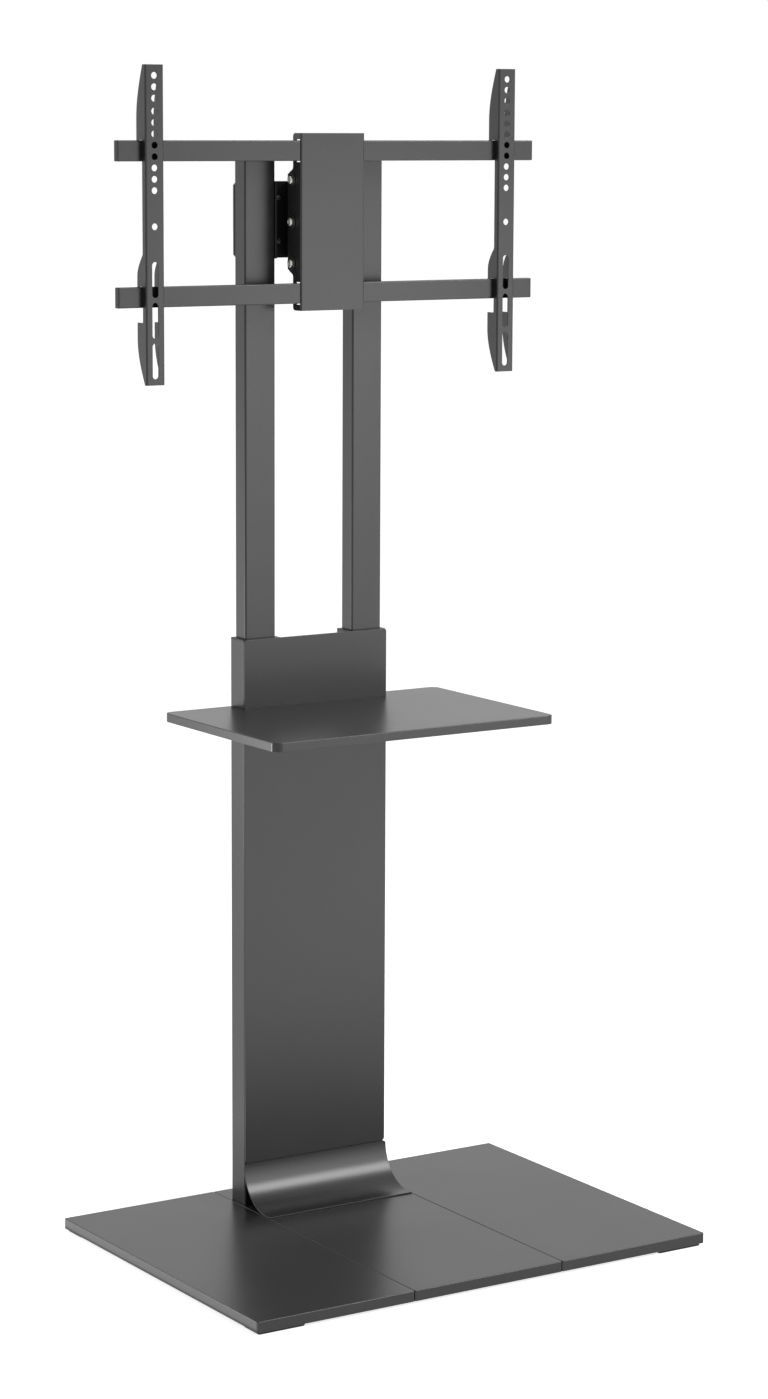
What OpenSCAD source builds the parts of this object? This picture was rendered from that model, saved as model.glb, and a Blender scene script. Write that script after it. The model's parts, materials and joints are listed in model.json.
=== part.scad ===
// Television floor stand in powder coated steel: a base of three folded panels,
// a column of two tubes behind a front plate, a shelf, two inner posts, and a
// carriage with a swivelling, tilting head, two rails and two sliding brackets.
// The origin is on the floor under the middle of the base. Z is up, X runs
// along the rails and the screen side faces -Y. All sizes are millimetres.

/* [Base] */
// Width of the base over its three panels
base_w = 730; // [620:1:1000]
// Depth of the base
base_d = 536; // [500:1:700]
// Height of the folded rim round the panels
base_rim_h = 15; // [14:0.5:30]
// Sheet thickness of the panels
base_sheet = 2; // [1:0.5:3]
// Width of the middle panel and of the cove
centre_w = 241; // [240:1:320]
// Open height between the floor and the rim
rim_lift = 4; // [3:0.5:12]
// Length of a floor pad along the front edge
pad_l = 72; // [40:1:80]
// Width of the flat bars under the panels, and of the pads
bar_w = 40; // [30:1:42]
// Thickness of the flat bars
bar_t = 5; // [3:0.5:5.5]
// Thickness of the foot plate under the column
plate_t = 5; // [3:0.5:5.5]
// Width of the foot plate
plate_w = 224; // [212:1:226]

/* [Cove] */
// Inner radius of the curved sheet at the foot of the column
cove_r = 60; // [30:1:100]
// Flat lip of the cove on the middle panel
cove_lip = 11; // [6:1:20]
// Sheet thickness of the cove
cove_sheet = 2; // [1:0.5:2]

/* [Column] */
// Distance from the base's back edge forward to the middle of the tubes
tube_inset = 67; // [66:1:110]
// Distance between the middles of the two tubes
tube_pitch = 176; // [170:1:180]
// Width of an outer tube
sleeve_w = 60; // [56:1:62]
// Depth of an outer tube
sleeve_d = 38; // [34:1:44]
// Wall of an outer tube
sleeve_wall = 2; // [1.5:0.25:2.5]
// Corner radius of an outer tube
sleeve_r = 3; // [2.6:0.2:5]
// Height of the column's top edge above the floor
column_top = 840; // [820:1:960]
// Thickness of the front plates
panel_t = 2; // [1.5:0.25:3]
// Corner radius of the front plates
panel_r = 4; // [2:0.5:10]

/* [Posts] */
// Width of an inner post
post_w = 49; // [44:1:50]
// Depth of an inner post
post_d = 28; // [26:1:30]
// Wall of an inner post
post_wall = 2; // [1.5:0.25:2.5]
// Corner radius of an inner post
post_r = 2.6; // [2.6:0.2:4]
// Height of the posts' top above the floor
post_top = 1526; // [1520:1:1700]
// Length of post inside the outer tube
post_insert = 200; // [160:1:260]

/* [Shelf] */
// Width of the shelf
shelf_w = 455; // [420:1:640]
// Depth of the shelf
shelf_d = 303.5; // [260:0.5:400]
// Height of the shelf's top above the floor
shelf_top = 742; // [500:1:760]
// Height of the shelf's folded edge
shelf_h = 12.5; // [11.5:0.5:20]
// Sheet thickness of the shelf
shelf_sheet = 1.5; // [1:0.25:2]
// Corner radius of the shelf
shelf_r = 12; // [4:1:30]

/* [Carriage] */
// Height of the carriage's middle above the floor
carriage_z = 1423; // [1200:1:1430]
// Height of the carriage beam between the posts
beam_h = 106; // [100:1:112]
// Sheet thickness of the carriage beam
beam_t = 3; // [2:0.5:4]
// Thickness of the clamp plate behind the posts
clamp_t = 4; // [3:0.5:6]
// Lowest travel of the carriage below its place in the photograph
travel_down = 400; // [100:10:400]
// Highest travel of the carriage above its place in the photograph
travel_up = 30; // [0:5:30]

/* [Head] */
// Height of the head's middle above the floor
head_z = 1421; // [1200:1:1430]
// Width of the head channel
head_w = 103.4; // [98:0.2:106]
// Height of the head channel
head_h = 243; // [235:1:300]
// Sheet thickness of the head channel
head_sheet = 2; // [1.5:0.25:2.5]
// Distance from the tilt axis forward to the head's front face
head_reach = 23; // [22:0.5:30]
// Distance from the swivel axis forward to the tilt axis
tilt_reach = 35; // [34:0.5:45]
// Distance from the tilt axis up or down to a lock bolt
lock_reach = 57; // [50:1:58]
// Radius of the ears round the lock bolts
ear_r = 13.5; // [12:0.5:14]
// Tilt with the top edge leaning forward, in degrees
tilt_forward = 8; // [2:1:8]
// Tilt with the top edge leaning back, in degrees
tilt_back = 5; // [2:1:5]

/* [Rails] */
// Length of a rail over its end caps
rail_len = 673; // [620:1:900]
// Height of a rail
rail_h = 28; // [24:1:32]
// Depth of a rail
rail_d = 10; // [8:0.5:12]
// Wall of a rail
rail_wall = 1.5; // [1:0.25:2]
// Distance between the middles of the two rails
rail_pitch = 195; // [190:1:200]

/* [Brackets] */
// Distance from the middle out to the middle of a bracket
bracket_x = 285.5; // [150:0.5:300]
// Width of a bracket
bracket_w = 28.3; // [24:0.1:34]
// Length of a bracket
bracket_len = 427; // [425:1:440]
// Sheet thickness of a bracket
bracket_sheet = 2; // [1.5:0.25:2.5]
// Height of a bracket's top above the head's middle
bracket_rise = 211.5; // [205:0.5:220]
// Depth of a bracket at its hooks
bracket_deep = 25; // [24:0.5:32]
// Distance from a bracket's front face back to the rail
bracket_stand = 10; // [8:0.5:12]
// Diameter of the screw holes for the screen
hole_d = 9; // [6:0.5:10]
// Distance between neighbouring holes in a row
hole_pitch = 15; // [13:0.5:15]
// Distance from a bracket's top to its first hole
hole_top = 14.5; // [10:0.5:20]
// Distance from the first hole to the single hole below the rows
single_drop = 200; // [190:1:220]
// Length of a long slot from end to end
slot_len = 48; // [30:1:48]
// Distance between the middles of neighbouring slots
slot_pitch = 54.5; // [53:0.5:58]

/* [Hidden] */
$fn = 48;

// Finishes
coat = [0.16, 0.16, 0.17];
plastic = [0.03, 0.03, 0.03];
zinc = [0.72, 0.72, 0.70];

// Clearance between parts that move past each other
gap = 0.3;
// Running clearance of a pin in its bore, on the radius
run = 0.05;
// Clearance round a part that is pushed into another
slip = 0.5;
// Overrun of a cut past a face
over = 1;
// Length of thread that stands out of a nut
thread_end = 1;

// Sizes of the hidden fixings under the base
seam_gap = 0.5;
bar_gap = 1;
weld_nut_r = 6;
weld_nut_h = 4;
m5_r = 2.5;
m5_head_r = 4.5;
m5_head_h = 3;
m6_r = 3;
m6_head_r = 5.5;
m6_head_h = 3.5;
m8_r = 4;
m8_head_r = 6.5;
m8_head_h = 5;
csk_share = 2;
inner_screw_inset = 20;
outer_screw_inset = 95;
centre_bolt_x = 60;
pad_inset = 1;
cove_screw_x = 90;
cove_screw_inset = 5;
m4_r = 2;
m4_head_r = 3.5;
m4_head_h = 2.5;

// Heights in the base
rim_z = rim_lift;
base_top = rim_z + base_rim_h;
skin_z = base_top - base_sheet;
bar_top = skin_z - weld_nut_h;
bar_z = bar_top - bar_t;
plate_z = bar_z - plate_t;
bar_y = base_d / 2 - base_sheet - bar_gap - bar_w / 2;
bar_x = base_w / 2 - base_sheet - bar_gap;

// Places in the column, front to back
tube_x = tube_pitch / 2;
tube_y = base_d / 2 - tube_inset;
sleeve_front = tube_y - sleeve_d / 2;
sleeve_back = tube_y + sleeve_d / 2;
sleeve_in = tube_x - sleeve_w / 2;
sleeve_out = tube_x + sleeve_w / 2;
panel_front = sleeve_front - panel_t;
post_front = tube_y - post_d / 2;
post_back = tube_y + post_d / 2;
post_in = tube_x - post_w / 2;
post_foot = column_top - post_insert;
bush_t = 1.5;
bush_depth = 20;
sleeve_top = column_top - bush_t;
plug_h = 12;
cap_t = 2;
cap_plug = 10;
shelf_z = shelf_top - shelf_h;

// Cove
cove_y = panel_front - cove_r;
cove_z = base_top + cove_sheet + cove_r;
cove_top = cove_z;
panel_gap = 1.5;

// Braces between the outer tubes, and the screws that hold the front plates;
// the lowest one closes the joint between the cove and the front plate
brace_t = 4;
brace_h = 40;
brace_lap = 4;
brace_low_z = cove_top - brace_lap;
brace_mid_z = 400;
brace_top_drop = 55;
brace_screw_x = 40;
screw_bite = 1;
beam_side = 25;
beam_wall = 2;

// Shelf carrier
carrier_t = 5;
carrier_rise = 2.5;
carrier_front = 46;
carrier_wing_x = 190;
carrier_wing_d = 100;
carrier_z = shelf_z + carrier_rise;
shelf_back_inset = 2.5;
shelf_back = sleeve_back - shelf_back_inset;
shelf_front = shelf_back - shelf_d;
shelf_screw_x = 160;
shelf_screw_in = 25;
carrier_bolt_x = 35;
shelf_beam_y = tube_y - beam_side / 2;

// Post bolts through the outer tube
post_bolt_low = 60;
post_bolt_high = 140;

// Carriage
swivel_set = 5;
swivel_y = tube_y - swivel_set;
tilt_y = swivel_y - tilt_reach;
clamp_y = post_back + gap;
beam_x = post_in - gap;
lip_x = 30;
clamp_bolt_z = 35;
clamp_nut_w = 20;
clamp_nut_t = 5.5;
clamp_chamfer = 4;
clamp_trim = 1;
clamp_w = tube_pitch + post_w;
beam_bolt_x = 42;
beam_bolt_z = 30;
slot_margin = 5;
post_slot_r = m8_r + gap;
pin_r = 6;
pin_head_r = 10;
pin_head_h = 4;
nut_h = 6;
swivel_nut_h = 8;
washer_t = 1.5;
barrel_r = 11;
barrel_h = beam_h - 2 * (beam_t + gap + washer_t);
neck_w = 16;

// Head
head_front = tilt_y - head_reach;
head_in = head_w / 2 - head_sheet;
flange_back = 1.6;
flange_r = 5;
bulge_back = 7.7;
pin_hole_r = 1.3;
pin_hole_y = 13;
pin_hole_z = 64;
window_gap = 1.5;
yoke_t = 3;
yoke_x = head_in - gap;
yoke_h = 132;
yoke_web = 15.5;
yoke_front_top = 14;
yoke_front_low = 11;
yoke_front_mid = 9;
yoke_waist = 30;
lock_slot_r = m6_r + gap;
nut_r = 5.7;
pivot_nut_r = 7.4;
bolt_head_h = 4;
bolt_washer_r = 9;
pivot_washer_r = 9;

// Rails
rail_y = head_front + head_sheet;
rail_cap_t = 1.5;
rail_cap_plug = 8;
rail_screw_x = 25;

// Brackets
bracket_front = rail_y - bracket_stand;
bracket_thin = bracket_stand - gap;
bracket_tip = 8;
bracket_toe = 5;
tip_curve = 72;
mid_curve = 30;
mid_deep = 13;
fin_top = 20;
fin_flat = 22;
hook_lip = 12;
hook_t = bracket_deep - bracket_stand - rail_d - gap;
top_hook = bracket_rise - (rail_pitch + rail_h) / 2 - gap;
low_hook = top_hook + rail_pitch;
low_rail_end = low_hook + gap + rail_h;
bracket_top = head_z + bracket_rise;
row_gap = 17;
top_row = 3;
main_row = 8;
slot_first = 271;
slot_count = 3;
curve_steps = 10;

// A box given by its lowest and highest corner
module span(lo, hi) translate(lo) cube(hi - lo);

// The same thing on both sides of the middle
module both_sides() {
    children();
    mirror([1, 0, 0]) children();
}

// A rectangle with round corners, centred
module round_rect(w, d, r) {
    square([w - 2 * r, d], center = true);
    square([w, d - 2 * r], center = true);
    for (sx = [-1, 1], sy = [-1, 1])
        translate([sx * (w / 2 - r), sy * (d / 2 - r)]) circle(r);
}

// Inner corner radius of a bent wall
function inner_r(r, wall) = max(r - wall, wall / 4);

// An upright rectangular tube standing on z = 0
module upright_tube(w, d, wall, r, h) {
    linear_extrude(h) difference() {
        round_rect(w, d, r);
        round_rect(w - 2 * wall, d - 2 * wall, inner_r(r, wall));
    }
}

// Round rods along each axis, from one place to another
module rod_x(r, x0, x1, y, z) translate([x0, y, z]) rotate([0, 90, 0]) cylinder(r = r, h = x1 - x0);
module rod_y(r, x, y0, y1, z) translate([x, y0, z]) rotate([-90, 0, 0]) cylinder(r = r, h = y1 - y0);
module rod_z(r, x, y, z0, z1) translate([x, y, z0]) cylinder(r = r, h = z1 - z0);

// A six sided nut with its hole, standing on z = 0
module hex_nut(r, bore_r, h) {
    difference() {
        cylinder(r = r, h = h, $fn = 6);
        translate([0, 0, -over]) cylinder(r = bore_r, h = h + 2 * over);
    }
}

// A flat washer standing on z = 0
module washer(r, bore_r, h) {
    difference() {
        cylinder(r = r, h = h);
        translate([0, 0, -over]) cylinder(r = bore_r, h = h + 2 * over);
    }
}

// A sunk bolt driven upwards from z0, drawn with an extra clearance
module sunk_bolt(r, x, y, z0, z1, extra) {
    translate([x, y, z0]) cylinder(r1 = csk_share * r + extra, r2 = r + extra, h = r);
    rod_z(r + extra, x, y, z0, z1);
}

// Screw places under the outer panels, for one side
function panel_screw_xs() = [centre_w / 2 + inner_screw_inset, base_w / 2 - outer_screw_inset];

// A folded panel between x0 and x1 with its weld nuts; sides marked as a seam
// have only a short fold that rests on the bars
module folded_panel(x0, x1, seam_low, seam_high, nut_xs) {
    difference() {
        span([x0, -base_d / 2, rim_z], [x1, base_d / 2, base_top]);
        span([x0 + base_sheet, -base_d / 2 + base_sheet, rim_z - over],
             [x1 - base_sheet, base_d / 2 - base_sheet, skin_z]);
        if (seam_low)
            span([x0 - over, -base_d / 2 + base_sheet, rim_z - over],
                 [x0 + base_sheet + over, base_d / 2 - base_sheet, bar_top]);
        if (seam_high)
            span([x1 - base_sheet - over, -base_d / 2 + base_sheet, rim_z - over],
                 [x1 + over, base_d / 2 - base_sheet, bar_top]);
    }
    for (x = nut_xs, y = [-bar_y, bar_y]) difference() {
        rod_z(weld_nut_r, x, y, bar_top, skin_z);
        rod_z(m5_r, x, y, bar_top - over, skin_z);
    }
}

module base_panel_left() {
    color(coat) folded_panel(-base_w / 2, -centre_w / 2 - seam_gap / 2, false, true,
                             -panel_screw_xs());
}

module base_panel_right() {
    color(coat) folded_panel(centre_w / 2 + seam_gap / 2, base_w / 2, true, false,
                             panel_screw_xs());
}

module base_panel_centre() {
    half = centre_w / 2 - seam_gap / 2;
    color(coat) difference() {
        union() {
            folded_panel(-half, half, true, true, []);
            for (x = [-centre_bolt_x, centre_bolt_x], y = [-bar_y, bar_y])
                rod_z(weld_nut_r, x, y, bar_top, skin_z);
        }
        for (x = [-centre_bolt_x, centre_bolt_x], y = [-bar_y, bar_y])
            rod_z(m6_r, x, y, bar_top - over, skin_z);
        for (x = [-tube_x, tube_x]) translate([x, tube_y, skin_z - over])
            linear_extrude(base_sheet + 2 * over)
                round_rect(sleeve_w + 2 * slip, sleeve_d + 2 * slip, sleeve_r);
        for (x = [-cove_screw_x, cove_screw_x])
            rod_z(m4_r, x, cove_y - cove_lip + cove_screw_inset, skin_z - over, base_top + over);
    }
}

// Quarter round sheet with a flat lip, its top corners rounded like the plates'
module base_cove() {
    outer_r = cove_r + cove_sheet;
    color(coat) difference() {
        intersection() {
            translate([-centre_w / 2, 0, 0]) rotate([90, 0, 90]) linear_extrude(centre_w) {
                translate([cove_y, cove_z]) intersection() {
                    difference() {
                        circle(outer_r, $fn = 96);
                        circle(cove_r, $fn = 96);
                    }
                    translate([0, -outer_r]) square(outer_r);
                }
                translate([cove_y - cove_lip, base_top]) square([cove_lip, cove_sheet]);
            }
            translate([0, cove_y + outer_r + over, 0]) rotate([90, 0, 0])
                linear_extrude(outer_r + cove_lip + 2 * over) {
                    translate([0, cove_top - cove_r / 2])
                        round_rect(centre_w, cove_r, panel_r);
                    translate([-centre_w / 2, base_top])
                        square([centre_w, cove_r / 2 + cove_sheet]);
                }
        }
        for (x = [-cove_screw_x, cove_screw_x])
            rod_z(m4_r, x, cove_y - cove_lip + cove_screw_inset,
                  base_top - over, base_top + cove_sheet - cove_sheet / 4);
    }
}

// Flat bar along X that ties the three panels together
module base_bar(y) {
    color(coat) difference() {
        span([-bar_x, y - bar_w / 2, bar_z], [bar_x, y + bar_w / 2, bar_top]);
        for (s = [-1, 1], x = panel_screw_xs()) rod_z(m5_r, s * x, y, bar_z - over, bar_top + over);
        for (x = [-centre_bolt_x, centre_bolt_x]) rod_z(m6_r, x, y, bar_z - over, bar_top + over);
    }
}

module base_bar_front() base_bar(-bar_y);
module base_bar_rear() base_bar(bar_y);

// Plate under both bars that carries the column
module foot_plate() {
    color(coat) difference() {
        span([-plate_w / 2, -bar_y - bar_w / 2, plate_z], [plate_w / 2, bar_y + bar_w / 2, bar_z]);
        for (x = [-centre_bolt_x, centre_bolt_x], y = [-bar_y, bar_y])
            sunk_bolt(m6_r, x, y, plate_z, bar_z + over, 0);
        for (x = [-tube_x, tube_x]) sunk_bolt(m8_r, x, tube_y, plate_z, bar_z + over, 0);
    }
}

module floor_pads() {
    color(plastic) for (sx = [-1, 1], sy = [-1, 1])
        translate([sx * (bar_x - pad_inset - pad_l / 2), sy * bar_y, 0])
            linear_extrude(bar_z) round_rect(pad_l, bar_w, panel_r);
}

module base_screws() {
    color(zinc) for (s = [-1, 1], x = panel_screw_xs(), y = [-bar_y, bar_y]) {
        rod_z(m5_head_r, s * x, y, bar_z - m5_head_h, bar_z);
        rod_z(m5_r, s * x, y, bar_z - m5_head_h, skin_z - gap);
    }
}

module centre_bolts() {
    color(zinc) for (x = [-centre_bolt_x, centre_bolt_x], y = [-bar_y, bar_y])
        sunk_bolt(m6_r, x, y, plate_z, skin_z - gap, 0);
}

module cove_screws() {
    color(zinc) for (x = [-cove_screw_x, cove_screw_x]) {
        rod_z(m4_head_r, x, cove_y - cove_lip + cove_screw_inset, skin_z - m4_head_h, skin_z);
        rod_z(m4_r, x, cove_y - cove_lip + cove_screw_inset,
              skin_z - m4_head_h, base_top + cove_sheet / 2);
    }
}

module column_bolts() {
    color(zinc) for (x = [-tube_x, tube_x]) sunk_bolt(m8_r, x, tube_y, plate_z, bar_z + plug_h, 0);
}

// Outer tube with a threaded plug at its foot and bolt holes in its back wall
module sleeve(side) {
    color(coat) difference() {
        translate([side * tube_x, tube_y, bar_z]) {
            upright_tube(sleeve_w, sleeve_d, sleeve_wall, sleeve_r, sleeve_top - bar_z);
            linear_extrude(plug_h) round_rect(sleeve_w - sleeve_wall, sleeve_d - sleeve_wall,
                                              inner_r(sleeve_r, sleeve_wall / 2));
        }
        rod_z(m8_r, side * tube_x, tube_y, bar_z - over, bar_z + plug_h + over);
        for (z = [post_bolt_low, post_bolt_high])
            rod_y(m6_r, side * tube_x, tube_y, sleeve_back + over, post_foot + z);
    }
}

module sleeve_left() sleeve(-1);
module sleeve_right() sleeve(1);

// Plastic guide in the mouth of an outer tube, with a thin collar on its rim
module sleeve_bush(side) {
    color(plastic) translate([side * tube_x, tube_y, 0]) difference() {
        union() {
            translate([0, 0, sleeve_top]) linear_extrude(bush_t)
                round_rect(sleeve_w, sleeve_d, sleeve_r);
            translate([0, 0, sleeve_top - bush_depth]) linear_extrude(bush_depth)
                round_rect(sleeve_w - 2 * sleeve_wall, sleeve_d - 2 * sleeve_wall,
                           inner_r(sleeve_r, sleeve_wall));
        }
        translate([0, 0, sleeve_top - bush_depth - over])
            linear_extrude(bush_depth + bush_t + 2 * over) round_rect(post_w, post_d, post_r);
    }
}

module sleeve_bush_left() sleeve_bush(-1);
module sleeve_bush_right() sleeve_bush(1);

// Flat brace between the outer tubes, behind the front plate
module column_brace(z) {
    color(coat) difference() {
        span([-sleeve_in, sleeve_front, z], [sleeve_in, sleeve_front + brace_t, z + brace_h]);
        for (x = [-brace_screw_x, brace_screw_x])
            rod_y(m5_r, x, sleeve_front - over, sleeve_front + brace_t + over, z + brace_h / 2);
    }
}

module column_brace_low() column_brace(brace_low_z);
module column_brace_mid() column_brace(brace_mid_z);
module column_brace_top() column_brace(column_top - brace_top_drop);

// Square tube between the outer tubes that carries the shelf
module shelf_beam() {
    color(coat) difference() {
        span([-sleeve_in, shelf_beam_y, carrier_z - beam_side],
             [sleeve_in, shelf_beam_y + beam_side, carrier_z]);
        span([-sleeve_in - over, shelf_beam_y + beam_wall, carrier_z - beam_side + beam_wall],
             [sleeve_in + over, shelf_beam_y + beam_side - beam_wall, carrier_z - beam_wall]);
        for (x = [-carrier_bolt_x, carrier_bolt_x])
            rod_z(m6_r, x, shelf_beam_y + beam_side / 2, carrier_z - beam_wall - over, carrier_z + over);
    }
}

// Front plate from z0 to z1 with two round corners, at its foot or at its top
module front_plate(z0, z1, round_top, screw_zs) {
    w = tube_pitch + sleeve_w;
    half = (z1 - z0) / 2;
    color(coat) difference() {
        translate([0, sleeve_front, z0 + half]) rotate([90, 0, 0]) linear_extrude(panel_t) {
            round_rect(w, 2 * half, panel_r);
            translate([-w / 2, round_top ? -half : 0]) square([w, half]);
        }
        for (x = [-brace_screw_x, brace_screw_x], z = screw_zs)
            rod_y(m5_r, x, sleeve_front - screw_bite, sleeve_front + over, z);
    }
}

module lower_front_panel() {
    front_plate(cove_top + panel_gap, shelf_z, false,
                [brace_low_z + brace_h / 2, brace_mid_z + brace_h / 2]);
}

module upper_front_panel() {
    front_plate(shelf_top, column_top, true, [column_top - brace_top_drop + brace_h / 2]);
}

module panel_screws() {
    zs = [brace_low_z, brace_mid_z, column_top - brace_top_drop];
    color(zinc) for (x = [-brace_screw_x, brace_screw_x], z = zs) {
        rod_y(m5_head_r, x, sleeve_front + brace_t, sleeve_front + brace_t + m5_head_h, z + brace_h / 2);
        rod_y(m5_r, x, sleeve_front - screw_bite, sleeve_front + brace_t + m5_head_h, z + brace_h / 2);
    }
}

// Inner post with a long slot in its back wall for the clamp bolts
module post(side) {
    slot_low = carriage_z - clamp_bolt_z - travel_down - slot_margin;
    slot_high = carriage_z + clamp_bolt_z + travel_up + slot_margin;
    color(coat) difference() {
        translate([side * tube_x, tube_y, post_foot])
            upright_tube(post_w, post_d, post_wall, post_r, post_top - cap_t - post_foot);
        span([side * tube_x - post_slot_r, tube_y, slot_low],
             [side * tube_x + post_slot_r, post_back + over, slot_high]);
        for (z = [slot_low, slot_high])
            rod_y(post_slot_r, side * tube_x, tube_y, post_back + over, z);
        for (z = [post_bolt_low, post_bolt_high])
            rod_y(m6_r, side * tube_x, tube_y, post_back + over, post_foot + z);
    }
}

module post_left() post(-1);
module post_right() post(1);

module post_cap(side) {
    color(plastic) translate([side * tube_x, tube_y, post_top - cap_t]) {
        linear_extrude(cap_t) round_rect(post_w, post_d, post_r);
        translate([0, 0, -cap_plug]) linear_extrude(cap_plug)
            round_rect(post_w - 2 * post_wall, post_d - 2 * post_wall, inner_r(post_r, post_wall));
    }
}

module post_cap_left() post_cap(-1);
module post_cap_right() post_cap(1);

module post_bolts() {
    color(zinc) for (s = [-1, 1], z = [post_bolt_low, post_bolt_high]) {
        rod_y(m6_head_r, s * tube_x, sleeve_back, sleeve_back + m6_head_h, post_foot + z);
        rod_y(m6_r, s * tube_x, post_back - 2 * post_wall, sleeve_back + m6_head_h, post_foot + z);
    }
}

// Outline of the shelf, open at the back round the column: shrink draws its outer
// edge in, and notch_grow makes the opening for the column larger
module shelf_outline(shrink, notch_grow) {
    notch_x = sleeve_out + slip + notch_grow;
    difference() {
        translate([0, (shelf_front + shelf_back) / 2])
            round_rect(shelf_w - 2 * shrink, shelf_d - 2 * shrink, inner_r(shelf_r, shrink));
        translate([-notch_x, panel_front - slip - notch_grow])
            square([2 * notch_x, shelf_back - panel_front + slip + notch_grow + over]);
    }
}

// Places of the screws that hold the shelf on its carrier
function shelf_screw_ys() = [shelf_front + carrier_front + shelf_screw_in,
                             shelf_front + carrier_front + carrier_wing_d - shelf_screw_in];

// Folded shelf: a thin top with a rim turned down all round
module shelf_tray() {
    color(coat) difference() {
        union() {
            difference() {
                translate([0, 0, shelf_z]) linear_extrude(shelf_h) shelf_outline(0, 0);
                translate([0, 0, shelf_z - over]) linear_extrude(shelf_h - shelf_sheet + over)
                    shelf_outline(shelf_sheet, shelf_sheet);
            }
            for (sx = [-1, 1], y = shelf_screw_ys())
                rod_z(weld_nut_r, sx * shelf_screw_x, y, carrier_z + carrier_t, shelf_top - shelf_sheet);
        }
        for (sx = [-1, 1], y = shelf_screw_ys())
            rod_z(m5_r, sx * shelf_screw_x, y, carrier_z, shelf_top - shelf_sheet);
        span([-sleeve_in, panel_front - slip - shelf_sheet - over, shelf_z - over],
             [sleeve_in, sleeve_front + over, shelf_top - shelf_sheet]);
    }
}

// T-shaped plate that reaches out between the front plates and under the shelf
module shelf_carrier() {
    tail_x = sleeve_in - slip;
    front = shelf_front + carrier_front;
    color(coat) difference() {
        translate([0, 0, carrier_z]) linear_extrude(carrier_t) {
            translate([-tail_x, front]) square([2 * tail_x, shelf_beam_y + beam_side - front]);
            translate([-carrier_wing_x, front]) square([2 * carrier_wing_x, carrier_wing_d]);
        }
        for (sx = [-1, 1], y = shelf_screw_ys())
            rod_z(m5_r, sx * shelf_screw_x, y, carrier_z - over, carrier_z + carrier_t + over);
        for (x = [-carrier_bolt_x, carrier_bolt_x])
            rod_z(m6_r, x, shelf_beam_y + beam_side / 2, carrier_z - over, carrier_z + carrier_t + over);
    }
}

module shelf_screws() {
    color(zinc) for (sx = [-1, 1], y = shelf_screw_ys()) {
        rod_z(m5_head_r, sx * shelf_screw_x, y, carrier_z - carrier_rise, carrier_z);
        rod_z(m5_r, sx * shelf_screw_x, y, carrier_z - carrier_rise, shelf_top - shelf_sheet - gap);
    }
}

module carrier_bolts() {
    color(zinc) for (x = [-carrier_bolt_x, carrier_bolt_x]) {
        rod_z(m6_head_r, x, shelf_beam_y + beam_side / 2, carrier_z + carrier_t,
              carrier_z + carrier_t + m6_head_h);
        rod_z(m6_r, x, shelf_beam_y + beam_side / 2, carrier_z - 2 * beam_wall,
              carrier_z + carrier_t + m6_head_h);
    }
}

// Folded beam between the posts: a back web, two side flanges and two lips
// that hold the swivel pin
module carriage_beam() {
    low = carriage_z - beam_h / 2;
    high = carriage_z + beam_h / 2;
    color(plastic) difference() {
        union() {
            span([-beam_x, clamp_y - beam_t, low], [beam_x, clamp_y, high]);
            both_sides() span([beam_x - beam_t, post_front, low], [beam_x, clamp_y, high]);
            for (z = [low, high - beam_t])
                span([-lip_x, post_front, z], [lip_x, clamp_y, z + beam_t]);
        }
        rod_z(pin_r + run, 0, swivel_y, low - over, high + over);
        for (x = [-beam_bolt_x, beam_bolt_x], z = [-beam_bolt_z, beam_bolt_z])
            rod_y(m6_r, x, clamp_y - beam_t - over, clamp_y + over, carriage_z + z);
    }
}

// Clamp plate behind the posts with its corners cut off
module clamp_plate() {
    x = clamp_w / 2;
    z = beam_h / 2 - clamp_trim;
    c = clamp_chamfer;
    color(coat) difference() {
        translate([0, clamp_y + clamp_t, carriage_z]) rotate([90, 0, 0]) linear_extrude(clamp_t)
            polygon([[x - c, z], [x, z - c], [x, c - z], [x - c, -z],
                     [c - x, -z], [-x, c - z], [-x, z - c], [c - x, z]]);
        for (x = [-tube_x, tube_x], z = [-clamp_bolt_z, clamp_bolt_z])
            rod_y(m8_r, x, clamp_y - over, clamp_y + clamp_t + over, carriage_z + z);
        for (x = [-beam_bolt_x, beam_bolt_x], z = [-beam_bolt_z, beam_bolt_z])
            rod_y(m6_r, x, clamp_y - over, clamp_y + clamp_t + over, carriage_z + z);
    }
}

module clamp_bolts() {
    back = clamp_y + clamp_t;
    color(zinc) for (x = [-tube_x, tube_x], z = [-clamp_bolt_z, clamp_bolt_z]) {
        rod_y(m8_head_r, x, back, back + m8_head_h, carriage_z + z);
        rod_y(m8_r, x, post_back - post_wall - gap - clamp_nut_t - thread_end,
              back + m8_head_h, carriage_z + z);
    }
}

// Square nuts that slide inside the posts
module clamp_nuts() {
    nut_back = post_back - post_wall - gap;
    color(zinc) for (x = [-tube_x, tube_x], z = [-clamp_bolt_z, clamp_bolt_z]) difference() {
        span([x - clamp_nut_w / 2, nut_back - clamp_nut_t, carriage_z + z - clamp_nut_w / 2],
             [x + clamp_nut_w / 2, nut_back, carriage_z + z + clamp_nut_w / 2]);
        rod_y(m8_r, x, nut_back - clamp_nut_t - over, nut_back + over, carriage_z + z);
    }
}

module beam_bolts() {
    back = clamp_y + clamp_t;
    color(zinc) for (x = [-beam_bolt_x, beam_bolt_x], z = [-beam_bolt_z, beam_bolt_z]) {
        rod_y(m6_head_r, x, back, back + m6_head_h, carriage_z + z);
        rod_y(m6_r, x, clamp_y - beam_t, back + m6_head_h, carriage_z + z);
    }
}

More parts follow.
